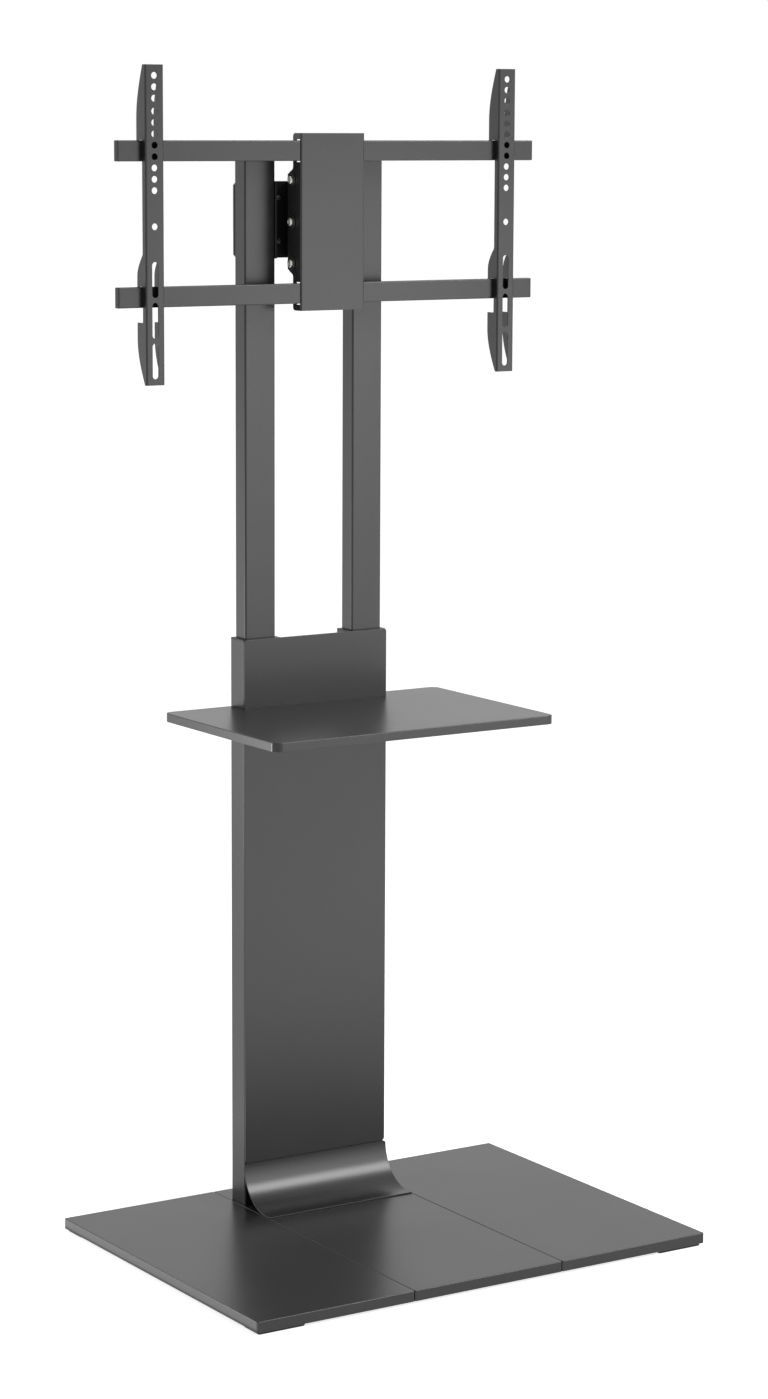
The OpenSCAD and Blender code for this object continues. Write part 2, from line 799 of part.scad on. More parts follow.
module swivel_pin() {
    top = carriage_z + beam_h / 2;
    color(zinc) {
        rod_z(pin_head_r, 0, swivel_y, top, top + pin_head_h);
        rod_z(pin_r, 0, swivel_y, carriage_z - beam_h / 2 - swivel_nut_h - thread_end, top + pin_head_h);
    }
}

module swivel_nut() {
    color(zinc) translate([0, swivel_y, carriage_z - beam_h / 2 - swivel_nut_h])
        hex_nut(pin_head_r, pin_r, swivel_nut_h);
}

module swivel_washers() {
    color(plastic) for (z = [-barrel_h / 2 - washer_t, barrel_h / 2])
        translate([0, swivel_y, carriage_z + z]) washer(barrel_r, pin_r + run, washer_t);
}

// Curved slot for a lock bolt, round the tilt axis, over the tilt's whole angle
// off the vertical; sign is 1 for the upper bolt and -1 for the lower one
module lock_slot(sign) {
    ease = asin(lock_slot_r / lock_reach);
    reach = lock_reach + lock_slot_r;
    intersection() {
        difference() {
            circle(reach, $fn = 96);
            circle(lock_reach - lock_slot_r, $fn = 96);
        }
        polygon([[0, 0], for (a = [-tilt_back - ease, tilt_forward + ease])
            2 * reach * sign * [-sin(a), cos(a)]]);
    }
}

// Side outline of the yoke's cheek, measured from the tilt axis
module cheek_outline() {
    half = yoke_h / 2;
    polygon([[yoke_web, -half], [yoke_web, half], [-yoke_front_top, half],
             [-yoke_front_top, yoke_waist], [-yoke_front_mid, yoke_waist / 2],
             [-yoke_front_mid, -yoke_waist / 2], [-yoke_front_low, -yoke_waist],
             [-yoke_front_low, -half]]);
}

// Yoke: two cheeks inside the head, a web behind them and the swivel barrel
module tilt_yoke() {
    web_y = tilt_y + yoke_web;
    color(plastic) difference() {
        union() {
            both_sides() translate([yoke_x - yoke_t, tilt_y, head_z]) rotate([90, 0, 90])
                linear_extrude(yoke_t) difference() {
                    cheek_outline();
                    circle(m8_r);
                    lock_slot(1);
                    lock_slot(-1);
                }
            span([-yoke_x, web_y, head_z - yoke_h / 2], [yoke_x, web_y + yoke_t, head_z + yoke_h / 2]);
            span([-neck_w / 2, web_y, carriage_z - barrel_h / 2],
                 [neck_w / 2, swivel_y, carriage_z + barrel_h / 2]);
            rod_z(barrel_r, 0, swivel_y, carriage_z - barrel_h / 2, carriage_z + barrel_h / 2);
        }
        rod_z(pin_r + run, 0, swivel_y, carriage_z - beam_h, carriage_z + beam_h);
    }
}

// Pivot bolts on the tilt axis: they turn in the head's flanges
module pivot_bolts() {
    seat = head_w / 2 + gap + washer_t;
    color(zinc) both_sides() {
        rod_x(m6_head_r, seat, seat + bolt_head_h, tilt_y, head_z);
        rod_x(m8_r, yoke_x - yoke_t - nut_h - thread_end, seat + bolt_head_h, tilt_y, head_z);
    }
}

module pivot_washers() {
    color(plastic) both_sides() translate([head_w / 2 + gap, tilt_y, head_z]) rotate([0, 90, 0])
        washer(pivot_washer_r, m8_r, washer_t);
}

module pivot_nuts() {
    color(zinc) both_sides() translate([yoke_x - yoke_t - nut_h, tilt_y, head_z])
        rotate([0, 90, 0]) hex_nut(pivot_nut_r, m8_r, nut_h);
}

// Lock bolts that ride in the yoke's curved slots and clamp the tilt
module lock_bolts() {
    seat = head_w / 2 + washer_t;
    color(zinc) for (s = [-1, 1]) both_sides() {
        rod_x(m6_head_r, seat, seat + bolt_head_h, tilt_y, head_z + s * lock_reach);
        rod_x(m6_r, yoke_x - yoke_t - gap - nut_h - thread_end, seat + bolt_head_h,
              tilt_y, head_z + s * lock_reach);
    }
}

module lock_washers() {
    color(plastic) for (s = [-1, 1]) both_sides()
        translate([head_w / 2, tilt_y, head_z + s * lock_reach]) rotate([0, 90, 0])
            washer(bolt_washer_r, m6_r, washer_t);
}

module lock_nuts() {
    color(zinc) for (s = [-1, 1]) both_sides()
        translate([yoke_x - yoke_t - gap - nut_h, tilt_y, head_z + s * lock_reach])
            rotate([0, 90, 0]) hex_nut(nut_r, m6_r, nut_h);
}

// Side flange of the head, measured from the tilt axis, with windows for the rails
module head_flange() {
    depth = head_reach - flange_back;
    difference() {
        union() {
            translate([-head_reach + depth / 2, 0]) round_rect(depth, head_h, flange_r);
            translate([-head_reach, -head_h / 2]) square([depth / 2, head_h]);
            translate([-head_reach, -lock_reach]) square([head_reach + bulge_back, 2 * lock_reach]);
            for (s = [-1, 1]) translate([0, s * lock_reach]) circle(ear_r);
        }
        circle(m8_r + run);
        for (s = [-1, 1]) translate([0, s * lock_reach]) circle(m6_r);
        translate([-pin_hole_y, -pin_hole_z]) circle(pin_hole_r);
        for (s = [-1, 1]) translate([-head_reach + head_sheet, s * rail_pitch / 2 - rail_h / 2 - window_gap])
            square([rail_d + window_gap, rail_h + 2 * window_gap]);
    }
}

// Head channel: a plain front web and two side flanges with ears
module head_channel() {
    color(coat) difference() {
        union() {
            span([-head_w / 2, head_front, head_z - head_h / 2],
                 [head_w / 2, head_front + head_sheet, head_z + head_h / 2]);
            both_sides() translate([head_w / 2 - head_sheet, tilt_y, head_z]) rotate([90, 0, 90])
                linear_extrude(head_sheet) head_flange();
        }
        for (x = [-rail_screw_x, rail_screw_x], s = [-1, 1])
            rod_y(m5_r, x, rail_y - screw_bite, rail_y + over, head_z + s * rail_pitch / 2);
    }
}

// Rail of rectangular tube between its end caps
module rail(z) {
    half = rail_len / 2 - rail_cap_t;
    color(coat) difference() {
        span([-half, rail_y, z - rail_h / 2], [half, rail_y + rail_d, z + rail_h / 2]);
        span([-half - over, rail_y + rail_wall, z - rail_h / 2 + rail_wall],
             [half + over, rail_y + rail_d - rail_wall, z + rail_h / 2 - rail_wall]);
        for (x = [-rail_screw_x, rail_screw_x]) rod_y(m5_r, x, rail_y - over, rail_y + rail_d + over, z);
    }
}

module rail_top() rail(head_z + rail_pitch / 2);
module rail_bottom() rail(head_z - rail_pitch / 2);

module rail_end_caps() {
    tube_end = rail_len / 2 - rail_cap_t;
    color(plastic) for (s = [-1, 1]) both_sides() {
        z = head_z + s * rail_pitch / 2;
        span([tube_end, rail_y, z - rail_h / 2], [rail_len / 2, rail_y + rail_d, z + rail_h / 2]);
        span([tube_end - rail_cap_plug, rail_y + rail_wall, z - rail_h / 2 + rail_wall],
             [tube_end, rail_y + rail_d - rail_wall, z + rail_h / 2 - rail_wall]);
    }
}

module rail_screws() {
    back = rail_y + rail_d;
    color(zinc) for (x = [-rail_screw_x, rail_screw_x], s = [-1, 1]) {
        rod_y(m5_head_r, x, back, back + m5_head_h, head_z + s * rail_pitch / 2);
        rod_y(m5_r, x, rail_y - screw_bite, back + m5_head_h, head_z + s * rail_pitch / 2);
    }
}

// Points of a smooth swell from one depth to another over a run, going down
function swell(from_z, run_z, from_w, to_w, bend) =
    [for (i = [0 : curve_steps]) let (t = i / curve_steps)
        [from_w + (to_w - from_w) * (bend > 0 ? sin(90 * t) : 1 - cos(90 * t)),
         -(from_z + run_z * t)]];

// Side outline of a bracket: depth behind the front face, height below the top
module bracket_outline() {
    lip_in = bracket_deep - hook_t;
    polygon(concat(
        [[0, 0]],
        swell(0, tip_curve, bracket_tip, bracket_deep, 1),
        [[bracket_deep, -top_hook - hook_lip], [lip_in, -top_hook - hook_lip],
         [lip_in, -top_hook], [bracket_thin, -top_hook]],
        [[bracket_thin, -low_hook + mid_deep + mid_curve]],
        swell(low_hook - mid_deep - mid_curve, mid_curve, bracket_thin, bracket_deep, 1),
        [[bracket_deep, -low_hook - hook_lip], [lip_in, -low_hook - hook_lip],
         [lip_in, -low_hook], [bracket_thin, -low_hook],
         [bracket_thin, -low_rail_end - fin_top], [bracket_deep, -low_rail_end - fin_top]],
        swell(low_rail_end + fin_top + fin_flat, bracket_len - low_rail_end - fin_top - fin_flat,
              bracket_deep, bracket_toe, 0),
        [[0, -bracket_len]]));
}

// Holes for the screen's screws, in the bracket's own place
module bracket_holes() {
    rows = [for (i = [0 : top_row - 1]) i * hole_pitch,
            for (i = [0 : main_row - 1]) (top_row - 1 + i) * hole_pitch + row_gap,
            single_drop];
    slot_half = (slot_len - hole_d) / 2;
    for (d = rows) translate([0, -hole_top - d]) circle(d = hole_d);
    for (i = [0 : slot_count - 1]) translate([0, -hole_top - slot_first - i * slot_pitch]) {
        square([hole_d, 2 * slot_half], center = true);
        for (s = [-1, 1]) translate([0, s * slot_half]) circle(d = hole_d);
    }
}

// Bracket: a pierced web and two side flanges with hooks over both rails
module bracket(side) {
    color(coat) translate([side * bracket_x, bracket_front, bracket_top]) {
        translate([0, bracket_sheet, 0]) rotate([90, 0, 0]) linear_extrude(bracket_sheet)
            difference() {
                translate([-bracket_w / 2, -bracket_len]) square([bracket_w, bracket_len]);
                bracket_holes();
            }
        both_sides() translate([bracket_w / 2 - bracket_sheet, 0, 0]) rotate([90, 0, 90])
            linear_extrude(bracket_sheet) bracket_outline();
    }
}

module bracket_left() bracket(-1);
module bracket_right() bracket(1);

base_panel_left();
base_panel_centre();
base_panel_right();
base_cove();
base_bar_front();
base_bar_rear();
foot_plate();
floor_pads();
base_screws();
centre_bolts();
cove_screws();
column_bolts();
sleeve_left();
sleeve_right();
sleeve_bush_left();
sleeve_bush_right();
column_brace_low();
column_brace_mid();
column_brace_top();
shelf_beam();
lower_front_panel();
upper_front_panel();
panel_screws();
post_left();
post_right();
post_cap_left();
post_cap_right();
post_bolts();
shelf_tray();
shelf_carrier();
shelf_screws();
carrier_bolts();
carriage_beam();
clamp_plate();
clamp_bolts();
clamp_nuts();
beam_bolts();
swivel_pin();
swivel_nut();
swivel_washers();
tilt_yoke();
pivot_bolts();
pivot_washers();
pivot_nuts();
lock_bolts();
lock_washers();
lock_nuts();
head_channel();
rail_top();
rail_bottom();
rail_end_caps();
rail_screws();
bracket_left();
bracket_right();
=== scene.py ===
"""Television floor stand in anthracite powder coat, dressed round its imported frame.

Everything is in metres, with Z up and the screen side facing -Y. Lengths are written in
millimetres and multiplied by MM. Most pieces are made in one way: a shape is drawn in the
box of the CAD node that the piece replaces, the rounded edge of a sheet is carried along
it, and the faces between the edges are closed. A shape is a pair: its points, and for
each point the vector that moves it when the shape is drawn in by one unit.
"""
import json
import math

import bmesh
import bpy
import numpy as np
from mathutils import Matrix, Vector
from mathutils.geometry import tessellate_polygon


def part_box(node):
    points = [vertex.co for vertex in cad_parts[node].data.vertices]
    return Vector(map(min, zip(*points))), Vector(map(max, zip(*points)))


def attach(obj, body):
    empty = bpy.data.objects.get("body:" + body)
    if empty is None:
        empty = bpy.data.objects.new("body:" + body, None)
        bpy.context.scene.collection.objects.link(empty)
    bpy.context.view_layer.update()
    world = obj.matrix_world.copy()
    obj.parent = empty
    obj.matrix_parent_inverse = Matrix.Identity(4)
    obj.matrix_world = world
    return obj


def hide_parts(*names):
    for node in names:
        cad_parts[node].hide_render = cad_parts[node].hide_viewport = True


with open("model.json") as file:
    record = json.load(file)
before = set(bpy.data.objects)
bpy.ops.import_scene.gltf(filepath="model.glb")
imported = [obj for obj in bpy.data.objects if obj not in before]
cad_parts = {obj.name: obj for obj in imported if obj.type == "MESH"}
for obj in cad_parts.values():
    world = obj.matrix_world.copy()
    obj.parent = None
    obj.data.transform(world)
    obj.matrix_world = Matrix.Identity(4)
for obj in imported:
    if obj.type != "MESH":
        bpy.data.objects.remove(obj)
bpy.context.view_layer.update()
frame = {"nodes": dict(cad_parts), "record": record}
MM = 0.001
NODE_BODY = {node: body for body, nodes in frame["record"]["behaviour"]["bodies"].items()
             for node in nodes}


# -------------------- node groups
def group(name, inputs, outputs):
    """An empty shader group with inputs (name, kind, default) and outputs (name, kind)."""
    tree = bpy.data.node_groups.new(name, "ShaderNodeTree")
    for title, kind, value in inputs:
        socket = tree.interface.new_socket(title, in_out="INPUT", socket_type="NodeSocket" + kind)
        socket.default_value = value
    for title, kind in outputs:
        tree.interface.new_socket(title, in_out="OUTPUT", socket_type="NodeSocket" + kind)
    given, out = tree.nodes.new("NodeGroupInput"), tree.nodes.new("NodeGroupOutput")
    return Graph(tree), given.outputs, out.inputs


class Graph:
    """Short ways to add linked nodes to one node tree."""

    def __init__(self, tree):
        self.tree = tree

    def node(self, kind, links=(), **settings):
        """A new node. Links says what each named socket is fed: a socket or a constant."""
        made = self.tree.nodes.new("ShaderNode" + kind)
        for key, value in settings.items():
            setattr(made, key, value)
        for socket, value in dict(links).items():
            self.feed(made.inputs[socket], value)
        return made

    def feed(self, socket, value):
        """Links a socket to the value where that is a socket, or else sets the constant."""
        if isinstance(value, bpy.types.NodeSocket):
            self.tree.links.new(value, socket)
        else:
            socket.default_value = value

    def fill(self, node, **values):
        """Feeds a node's inputs by name, with _ for a blank in the name."""
        for title, value in values.items():
            self.feed(node.inputs[title.replace("_", " ")], value)

    def math(self, operation, *values):
        """The result of one operation on sockets or constants."""
        return self.node("Math", enumerate(values), operation=operation).outputs[0]

    def times(self, value, factor):
        """A value times a factor."""
        return self.math("MULTIPLY", value, factor)

    def noise(self, place, scale, detail=2.0, roughness=0.5):
        """Noise with `scale` repeats in a metre."""
        made = self.node("TexNoise", {"Vector": place, "Scale": scale, "Detail": detail,
                                      "Roughness": roughness})
        return made.outputs["Fac"]

    def spread(self, value, low, high, to_low=0.0, to_high=1.0):
        """A value mapped from one range to another and clamped to it."""
        made = self.node("MapRange", {"Value": value, "From Min": low, "From Max": high,
                                      "To Min": to_low, "To Max": to_high})
        return made.outputs["Result"]

    def mix(self, factor, first, second):
        """A colour on the way from the first, at factor 0, to the second, at factor 1."""
        made = self.node("Mix", data_type="RGBA")
        for socket, value in (("Factor", factor), (6, first), (7, second)):
            self.feed(made.inputs[socket], value)
        return made.outputs[2]

    def bump(self, height, strength, distance):
        """Normals of a surface whose height from 0 to 1 stands for a distance."""
        made = self.node("Bump", {"Strength": strength, "Distance": distance, "Height": height})
        return made.outputs["Normal"]

    def use(self, name, **values):
        """The outputs of a shared group with some of its inputs set."""
        made = self.node("Group", node_tree=GROUPS[name])
        self.fill(made, **values)
        return made.outputs


def powder_skin_group():
    """Skin of baked powder: low waves of the flow, fine pimples and a few sunken pits.
    Height is waves plus pimples less pits; Speck marks single paler grains."""
    g, given, out = group("powder_skin", [("Wave", "Float", 1.0), ("Grain", "Float", 1.0)],
                          [("Height", "Float"), ("Speck", "Float")])
    place = g.node("TexCoord").outputs["Object"]
    waves = g.noise(place, scale=260.0)
    pimples = g.noise(place, scale=1300.0, detail=1.0, roughness=0.4)
    cells = g.node("TexVoronoi", {"Vector": place, "Scale": 900.0}, feature="F1")
    pits = g.spread(cells.outputs["Distance"], 0.0, 0.22, 1.0, 0.0)
    raised = g.math("ADD", g.times(waves, given["Wave"]), g.times(pimples, given["Grain"]))
    g.feed(out["Height"], g.math("SUBTRACT", raised, g.times(pits, 0.25)))
    g.feed(out["Speck"], g.spread(g.noise(place, scale=2100.0, detail=0.0), 0.66, 0.8))
    return g.tree


def handling_group():
    """Marks of handling: broad soft clouds, and dust that settles on faces that look up.
    Cloud lies from 0 to 1 all over; Dust is 1 on level faces where its film is thick."""
    g, given, out = group("handling", [("Size", "Float", 6.0), ("Dust", "Float", 0.5)],
                          [("Cloud", "Float"), ("Dust", "Float")])
    place = g.node("TexCoord").outputs["Object"]
    cloud = g.noise(place, scale=given["Size"], detail=4.0, roughness=0.6)
    g.feed(out["Cloud"], g.spread(cloud, 0.3, 0.7))
    facing = g.node("NewGeometry").outputs["Normal"]
    looks_up = g.spread(g.node("SeparateXYZ", {"Vector": facing}).outputs["Z"], 0.6, 0.98)
    film = g.spread(g.noise(place, scale=21.0, detail=5.0, roughness=0.65), 0.25, 0.8)
    g.feed(out["Dust"], g.times(g.times(looks_up, film), given["Dust"]))
    return g.tree


def turned_rings_group():
    """Fine rings of a lathe tool round a screw: noise stretched along one axis, so that it
    repeats as streaks across the other two. Tint wanders slowly from 0 to 1."""
    g, given, out = group("turned_rings",
                          [("Stretch", "Vector", (1.0, 1.0, 1.0)), ("Scale", "Float", 2500.0)],
                          [("Height", "Float"), ("Tint", "Float")])
    place = g.node("TexCoord").outputs["Object"]
    drawn = g.node("VectorMath", {0: place, 1: given["Stretch"]}, operation="MULTIPLY")
    g.feed(out["Height"], g.noise(drawn.outputs[0], scale=given["Scale"], roughness=0.6))
    g.feed(out["Tint"], g.spread(g.noise(place, scale=160.0, detail=3.0), 0.3, 0.75))
    return g.tree


GROUPS = {"powder_skin": powder_skin_group(), "handling": handling_group(),
          "turned_rings": turned_rings_group()}


# -------------------- materials
SPECK = (0.16, 0.16, 0.165, 1)
DUST_ON_COAT = (0.30, 0.29, 0.27, 1)
DUST_ON_PLASTIC = (0.25, 0.24, 0.22, 1)


def new_material(name, **constants):
    """A material with a Principled BSDF whose constant sockets are set directly."""
    material = bpy.data.materials.new(name)
    material.use_nodes = True
    g, surface = Graph(material.node_tree), material.node_tree.nodes["Principled BSDF"]
    g.fill(surface, **constants)
    return material, g, surface


def powder_coat(name, dark, pale, rough, dust):
    """Baked powder coat: two shades clouded together, paler single grains, a thin film of
    dust on level faces, and the skin's waves and pimples as bump."""
    sway, speck_share, dust_share, dust_rough = 0.015, 0.25, 0.06, 0.06
    material, g, surface = new_material(name, Roughness=rough, Specular_IOR_Level=0.5)
    skin = g.use("powder_skin", Wave=1.0, Grain=0.45)
    marks = g.use("handling", Size=5.0, Dust=dust)
    shade = g.mix(marks["Cloud"], (*dark, 1), (*pale, 1))
    shade = g.mix(g.times(skin["Speck"], speck_share), shade, SPECK)
    shade = g.mix(g.times(marks["Dust"], dust_share), shade, DUST_ON_COAT)
    uneven = g.spread(marks["Cloud"], 0.0, 1.0, rough - sway, rough + sway)
    g.fill(surface, Base_Color=shade,
           Roughness=g.math("ADD", uneven, g.times(marks["Dust"], dust_rough)),
           Normal=g.bump(skin["Height"], strength=0.025, distance=0.6 * MM))
    return material


def moulded_plastic(name, shade, rough, grain):
    """Moulded plastic or rubber: one dark shade with faint clouds, a little dust and a fine
    spark-eroded grain."""
    sway, dust_share = 0.05, 0.08
    material, g, surface = new_material(name, Roughness=rough, Specular_IOR_Level=0.4)
    marks = g.use("handling", Size=40.0, Dust=0.6)
    skin = g.use("powder_skin", Wave=0.3, Grain=grain)
    paler = (c * 1.5 + 0.004 for c in shade)
    tone = g.mix(marks["Cloud"], (*shade, 1), (*paler, 1))
    tone = g.mix(g.times(marks["Dust"], dust_share), tone, DUST_ON_PLASTIC)
    g.fill(surface, Base_Color=tone,
           Roughness=g.spread(marks["Cloud"], 0.0, 1.0, rough - sway, rough + sway),
           Normal=g.bump(skin["Height"], strength=0.18, distance=0.4 * MM))
    return material


def zinc_plate(name, stretch):
    """Bright zinc on turned steel: streaks of the tool along one axis and a faint blue to
    yellow tint that wanders over the plating."""
    red, green, blue = 0.62, 0.62, 0.60
    material, g, surface = new_material(name, Roughness=0.32, Metallic=1.0)
    rings = g.use("turned_rings", Stretch=stretch, Scale=2600.0)
    marks = g.use("handling", Size=90.0)
    yellowish = (red * 1.04, green, blue * 0.88, 1)
    bluish = (red * 0.94, green * 0.98, blue * 1.04, 1)
    g.fill(surface, Base_Color=g.mix(rings["Tint"], yellowish, bluish),
           Roughness=g.spread(marks["Cloud"], 0.0, 1.0, 0.30, 0.42),
           Normal=g.bump(rings["Height"], strength=0.12, distance=0.3 * MM))
    return material


COAT = powder_coat("anthracite_coat", dark=(0.0105, 0.0106, 0.0109),
                   pale=(0.014, 0.0141, 0.0145), rough=0.30, dust=0.12)
# The base panels and cove take the same anthracite coat a little darker. This is painted shade
# for the dark reflection across the base; its thicker dust film is real dust.
BASE_COAT_PAINTED_SHADE = powder_coat("anthracite_coat_base_painted_shade", dark=(0.010, 0.0101, 0.0104),
                        pale=(0.0135, 0.0136, 0.014), rough=0.30, dust=0.15)
# Black coat for the carriage beam and yoke, darker than the anthracite coat. It is partly a real
# black finish and partly painted shade for the deep shade in the recess between the posts and
# behind the head.
BLACK_COAT_AND_SHADE = powder_coat("black_coat", dark=(0.0045, 0.0045, 0.005), pale=(0.008, 0.008, 0.0085),
                    rough=0.5, dust=0.3)
PLASTIC = moulded_plastic("black_plastic", (0.008, 0.008, 0.0085), rough=0.45, grain=0.6)
RUBBER = moulded_plastic("pad_rubber", (0.012, 0.012, 0.012), rough=0.7, grain=1.0)
ZINC_X = zinc_plate("zinc_along_x", (0.04, 1.0, 1.0))
ZINC_Y = zinc_plate("zinc_along_y", (1.0, 0.04, 1.0))
ZINC_Z = zinc_plate("zinc_along_z", (1.0, 1.0, 0.04))


# -------------------- shells and pieces
def grid_faces(n, m, close_u=False, close_v=False):
    """Quads joining point (i, j) of an n by m grid to its neighbours; either way may close
    into a ring."""
    i = np.arange(n if close_u else n - 1)
    j = np.arange(m if close_v else m - 1)
    a, b = (x.ravel() for x in np.meshgrid(i, j, indexing="ij"))
    a1, b1 = (a + 1) % n, (b + 1) % m
    return np.stack([a * m + b, a1 * m + b, a1 * m + b1, a * m + b1], axis=1)


class Shell:
    """Collects points and faces of one piece before it becomes a mesh. Faces that lie in a
    true plane are marked flat, and their corners keep the plane's own normal."""

    def __init__(self):
        self.points, self.faces, self.flat, self.count = [], [], [], 0

    def add(self, points, faces, flat=False):
        """Adds points, and faces whose corners count from the first of them."""
        points = np.asarray(points, float).reshape(-1, 3)
        self.points.append(points)
        self.faces += [tuple(int(v) + self.count for v in face) for face in faces]
        self.flat += [flat] * len(faces)
        self.count += len(points)

    def mesh(self, name, weld=1e-6):
        """The welded mesh with its faces turned outwards."""
        mesh = bpy.data.meshes.new(name)
        mesh.from_pydata(np.concatenate(self.points).tolist(), [], self.faces)
        mesh.attributes.new("plane", "BOOLEAN", "FACE").data.foreach_set("value", self.flat)
        built = bmesh.new()
        built.from_mesh(mesh)
        bmesh.ops.remove_doubles(built, verts=built.verts, dist=weld)
        bmesh.ops.dissolve_degenerate(built, edges=built.edges, dist=weld)
        bmesh.ops.recalc_face_normals(built, faces=built.faces)
        built.to_mesh(mesh)
        built.free()
        mesh.shade_smooth()
        return mesh


def read(collection, title, width, kind):
    """One value, or `width` values, of every element of a mesh's collection."""
    values = np.zeros(len(collection) * width, kind)
    collection.foreach_get(title, values)
    return values


def plane_normals(mesh, flat_share=1000.0):
    """Sets a normal at each corner: the mean of the faces round its point, each counted by
    its area, and flat faces a thousand times over."""
    point = read(mesh.loops, "vertex_index", 1, np.int32)
    corners = read(mesh.polygons, "loop_total", 1, np.int32)
    area = read(mesh.polygons, "area", 1, np.float32)
    facing = read(mesh.polygons, "normal", 3, np.float32).reshape(-1, 3)
    plane = read(mesh.attributes["plane"].data, "value", 1, bool)
    share = (area * np.where(plane, flat_share, 1.0))[:, None] * facing
    normals = np.zeros((len(mesh.vertices), 3))
    np.add.at(normals, point, np.repeat(share, corners, axis=0))
    normals /= np.maximum(np.linalg.norm(normals, axis=1), 1e-20)[:, None]
    mesh.normals_split_custom_set(normals[point].tolist())


def settle(name, mesh, node, material):
    """Puts the piece in the scene: on its node's body, in place of the node."""
    piece = bpy.data.objects.new(name, mesh)
    bpy.context.scene.collection.objects.link(piece)
    mesh.materials.append(material)
    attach(piece, NODE_BODY[node])
    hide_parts(node)
    return piece


def finish_sheet(shell, node, material, name="sheet"):
    """A piece all of whose edges are rounded, so that it is smooth everywhere."""
    mesh = shell.mesh(f"{node}_{name}")
    plane_normals(mesh)
    settle(f"{node}_{name}", mesh, node, material)


def finish_turned(shell, node, material, name="turned", smooth=35.0):
    """A piece with edges: smooth over edges flatter than `smooth` degrees."""
    mesh = shell.mesh(f"{node}_{name}")
    mesh.set_sharp_from_angle(angle=math.radians(smooth))
    piece = settle(f"{node}_{name}", mesh, node, material)
    piece.modifiers.new("even_normals", "WEIGHTED_NORMAL").keep_sharp = True


def solids(node):
    """Boxes of the separate solids in a CAD node: points in one place are made one, and
    triangles that share a point belong together."""
    mesh = frame["nodes"][node].data
    co = read(mesh.vertices, "co", 3, np.float32).reshape(-1, 3).astype(float)
    same = np.unique(np.round(co, 6), axis=0, return_inverse=True)[1].reshape(-1)
    tri = same[read(mesh.polygons, "vertices", 3, np.int32).reshape(-1, 3)]
    label = np.arange(same.max() + 1)
    while True:
        low = label[tri].min(axis=1)
        fresh = label.copy()
        for k in range(3):
            np.minimum.at(fresh, tri[:, k], low)
        if np.array_equal(fresh, label):
            break
        label = fresh
    owner = label[same]
    return [(co[owner == k].min(axis=0), co[owner == k].max(axis=0)) for k in np.unique(owner)]


def dress(node, material):
    """Gives a CAD node that stays its material."""
    slots = frame["nodes"][node].data.materials
    slots.clear()
    slots.append(material)


# -------------------- shapes
def outline(corners, radii=0.0, steps=5, marks=()):
    """A closed shape, walked anticlockwise, or clockwise round a hole, with the material on
    its left. A corner becomes an arc of radius r that touches both its sides: with n1 and n2
    their normals into the material and m = (n1 + n2) / (1 + n1.n2), the arc's middle is the
    corner plus r m where the walk turns left and minus r m where it turns right. Corners
    that turn less than 20 degrees stay. Marks are distances from both ends of each side
    where two points lie close together."""
    least_turn, close = math.radians(20), 1e-5
    corners = np.asarray(corners, float)
    total = len(corners)
    radii = np.broadcast_to(radii, total)
    along = np.roll(corners, -1, axis=0) - corners
    length = np.linalg.norm(along, axis=1)
    along = along / length[:, None]
    left = np.stack([-along[:, 1], along[:, 0]], axis=1)
    points, moves = [], []
    for i in range(total):
        before, after = left[i - 1], left[i]
        turn = math.atan2(before[0] * after[1] - before[1] * after[0], before @ after)
        miter = (before + after) / (1 + before @ after)
        if radii[i] > 0 and abs(turn) > least_turn:
            out = math.copysign(radii[i], turn)
            t = np.linspace(0, turn, steps + 1)[:, None]
            facing = np.cos(t) * before + np.sin(t) * np.array([-before[1], before[0]])
            points += list(corners[i] + out * miter - out * facing)
            moves += list(facing)
        else:
            points.append(corners[i])
            moves.append(miter)
        ways = [way for mark in marks for way in (mark, length[i] - mark)]
        for way in sorted(way + gap for way in ways for gap in (-close, close)):
            points.append(corners[i] + along[i] * way)
            moves.append(after)
    return np.array(points), np.array(moves)


def rectangle(x0, x1, y0, y1, radii=0.0, steps=5, marks=()):
    """A four sided shape, walked anticlockwise from its corner (x0, y0)."""
    return outline([(x0, y0), (x1, y0), (x1, y1), (x0, y1)], radii, steps, marks)


def footprint(lo, hi, corner, steps=5, inset=0.0, marks=()):
    """The rectangle of a box seen from above, drawn in by an inset."""
    return rectangle(lo[0] + inset, hi[0] - inset, lo[1] + inset, hi[1] - inset,
                     corner, steps, marks)


def window(x0, x1, y0, y1, radius):
    """A four sided hole, walked clockwise."""
    return outline([(x0, y0), (x0, y1), (x1, y1), (x1, y0)], radius, 3)


def circle(t):
    """Points of a circle of radius 1 round the origin: cos t and sin t."""
    return np.stack([np.cos(t), np.sin(t)], axis=1)


def hole(x, y, radius, steps=32):
    """A round hole, walked clockwise."""
    way = circle(np.linspace(2 * math.pi, 0, steps, endpoint=False))
    return np.array([x, y]) + radius * way, way


def slot_hole(x, low, high, radius, steps=16):
    """An upright slot with round ends, whose end arcs have their middles at low and high."""
    top = circle(np.linspace(math.pi, 0, steps))
    way = np.concatenate([top, -top])
    middle = np.repeat([high, low], steps)
    return np.stack([np.full(2 * steps, x), middle], axis=1) + radius * way, way


def quarter_round(steps):
    """A quarter circle round (1, 1), from (1, 0) to (0, 1): 1 - sin and 1 - cos of its
    angle."""
    t = np.linspace(0, math.pi / 2, steps)
    return 1 - np.sin(t), 1 - np.cos(t)


def edge_section(thick, ease, steps=4):
    """Section of a sheet's edge: how far in from the shape, and how deep. A quarter round
    from the face to the wall, and another from the wall to the back."""
    inset, depth = (ease * part for part in quarter_round(steps))
    return np.concatenate([inset, inset[::-1]]), np.concatenate([depth, thick - depth[::-1]])


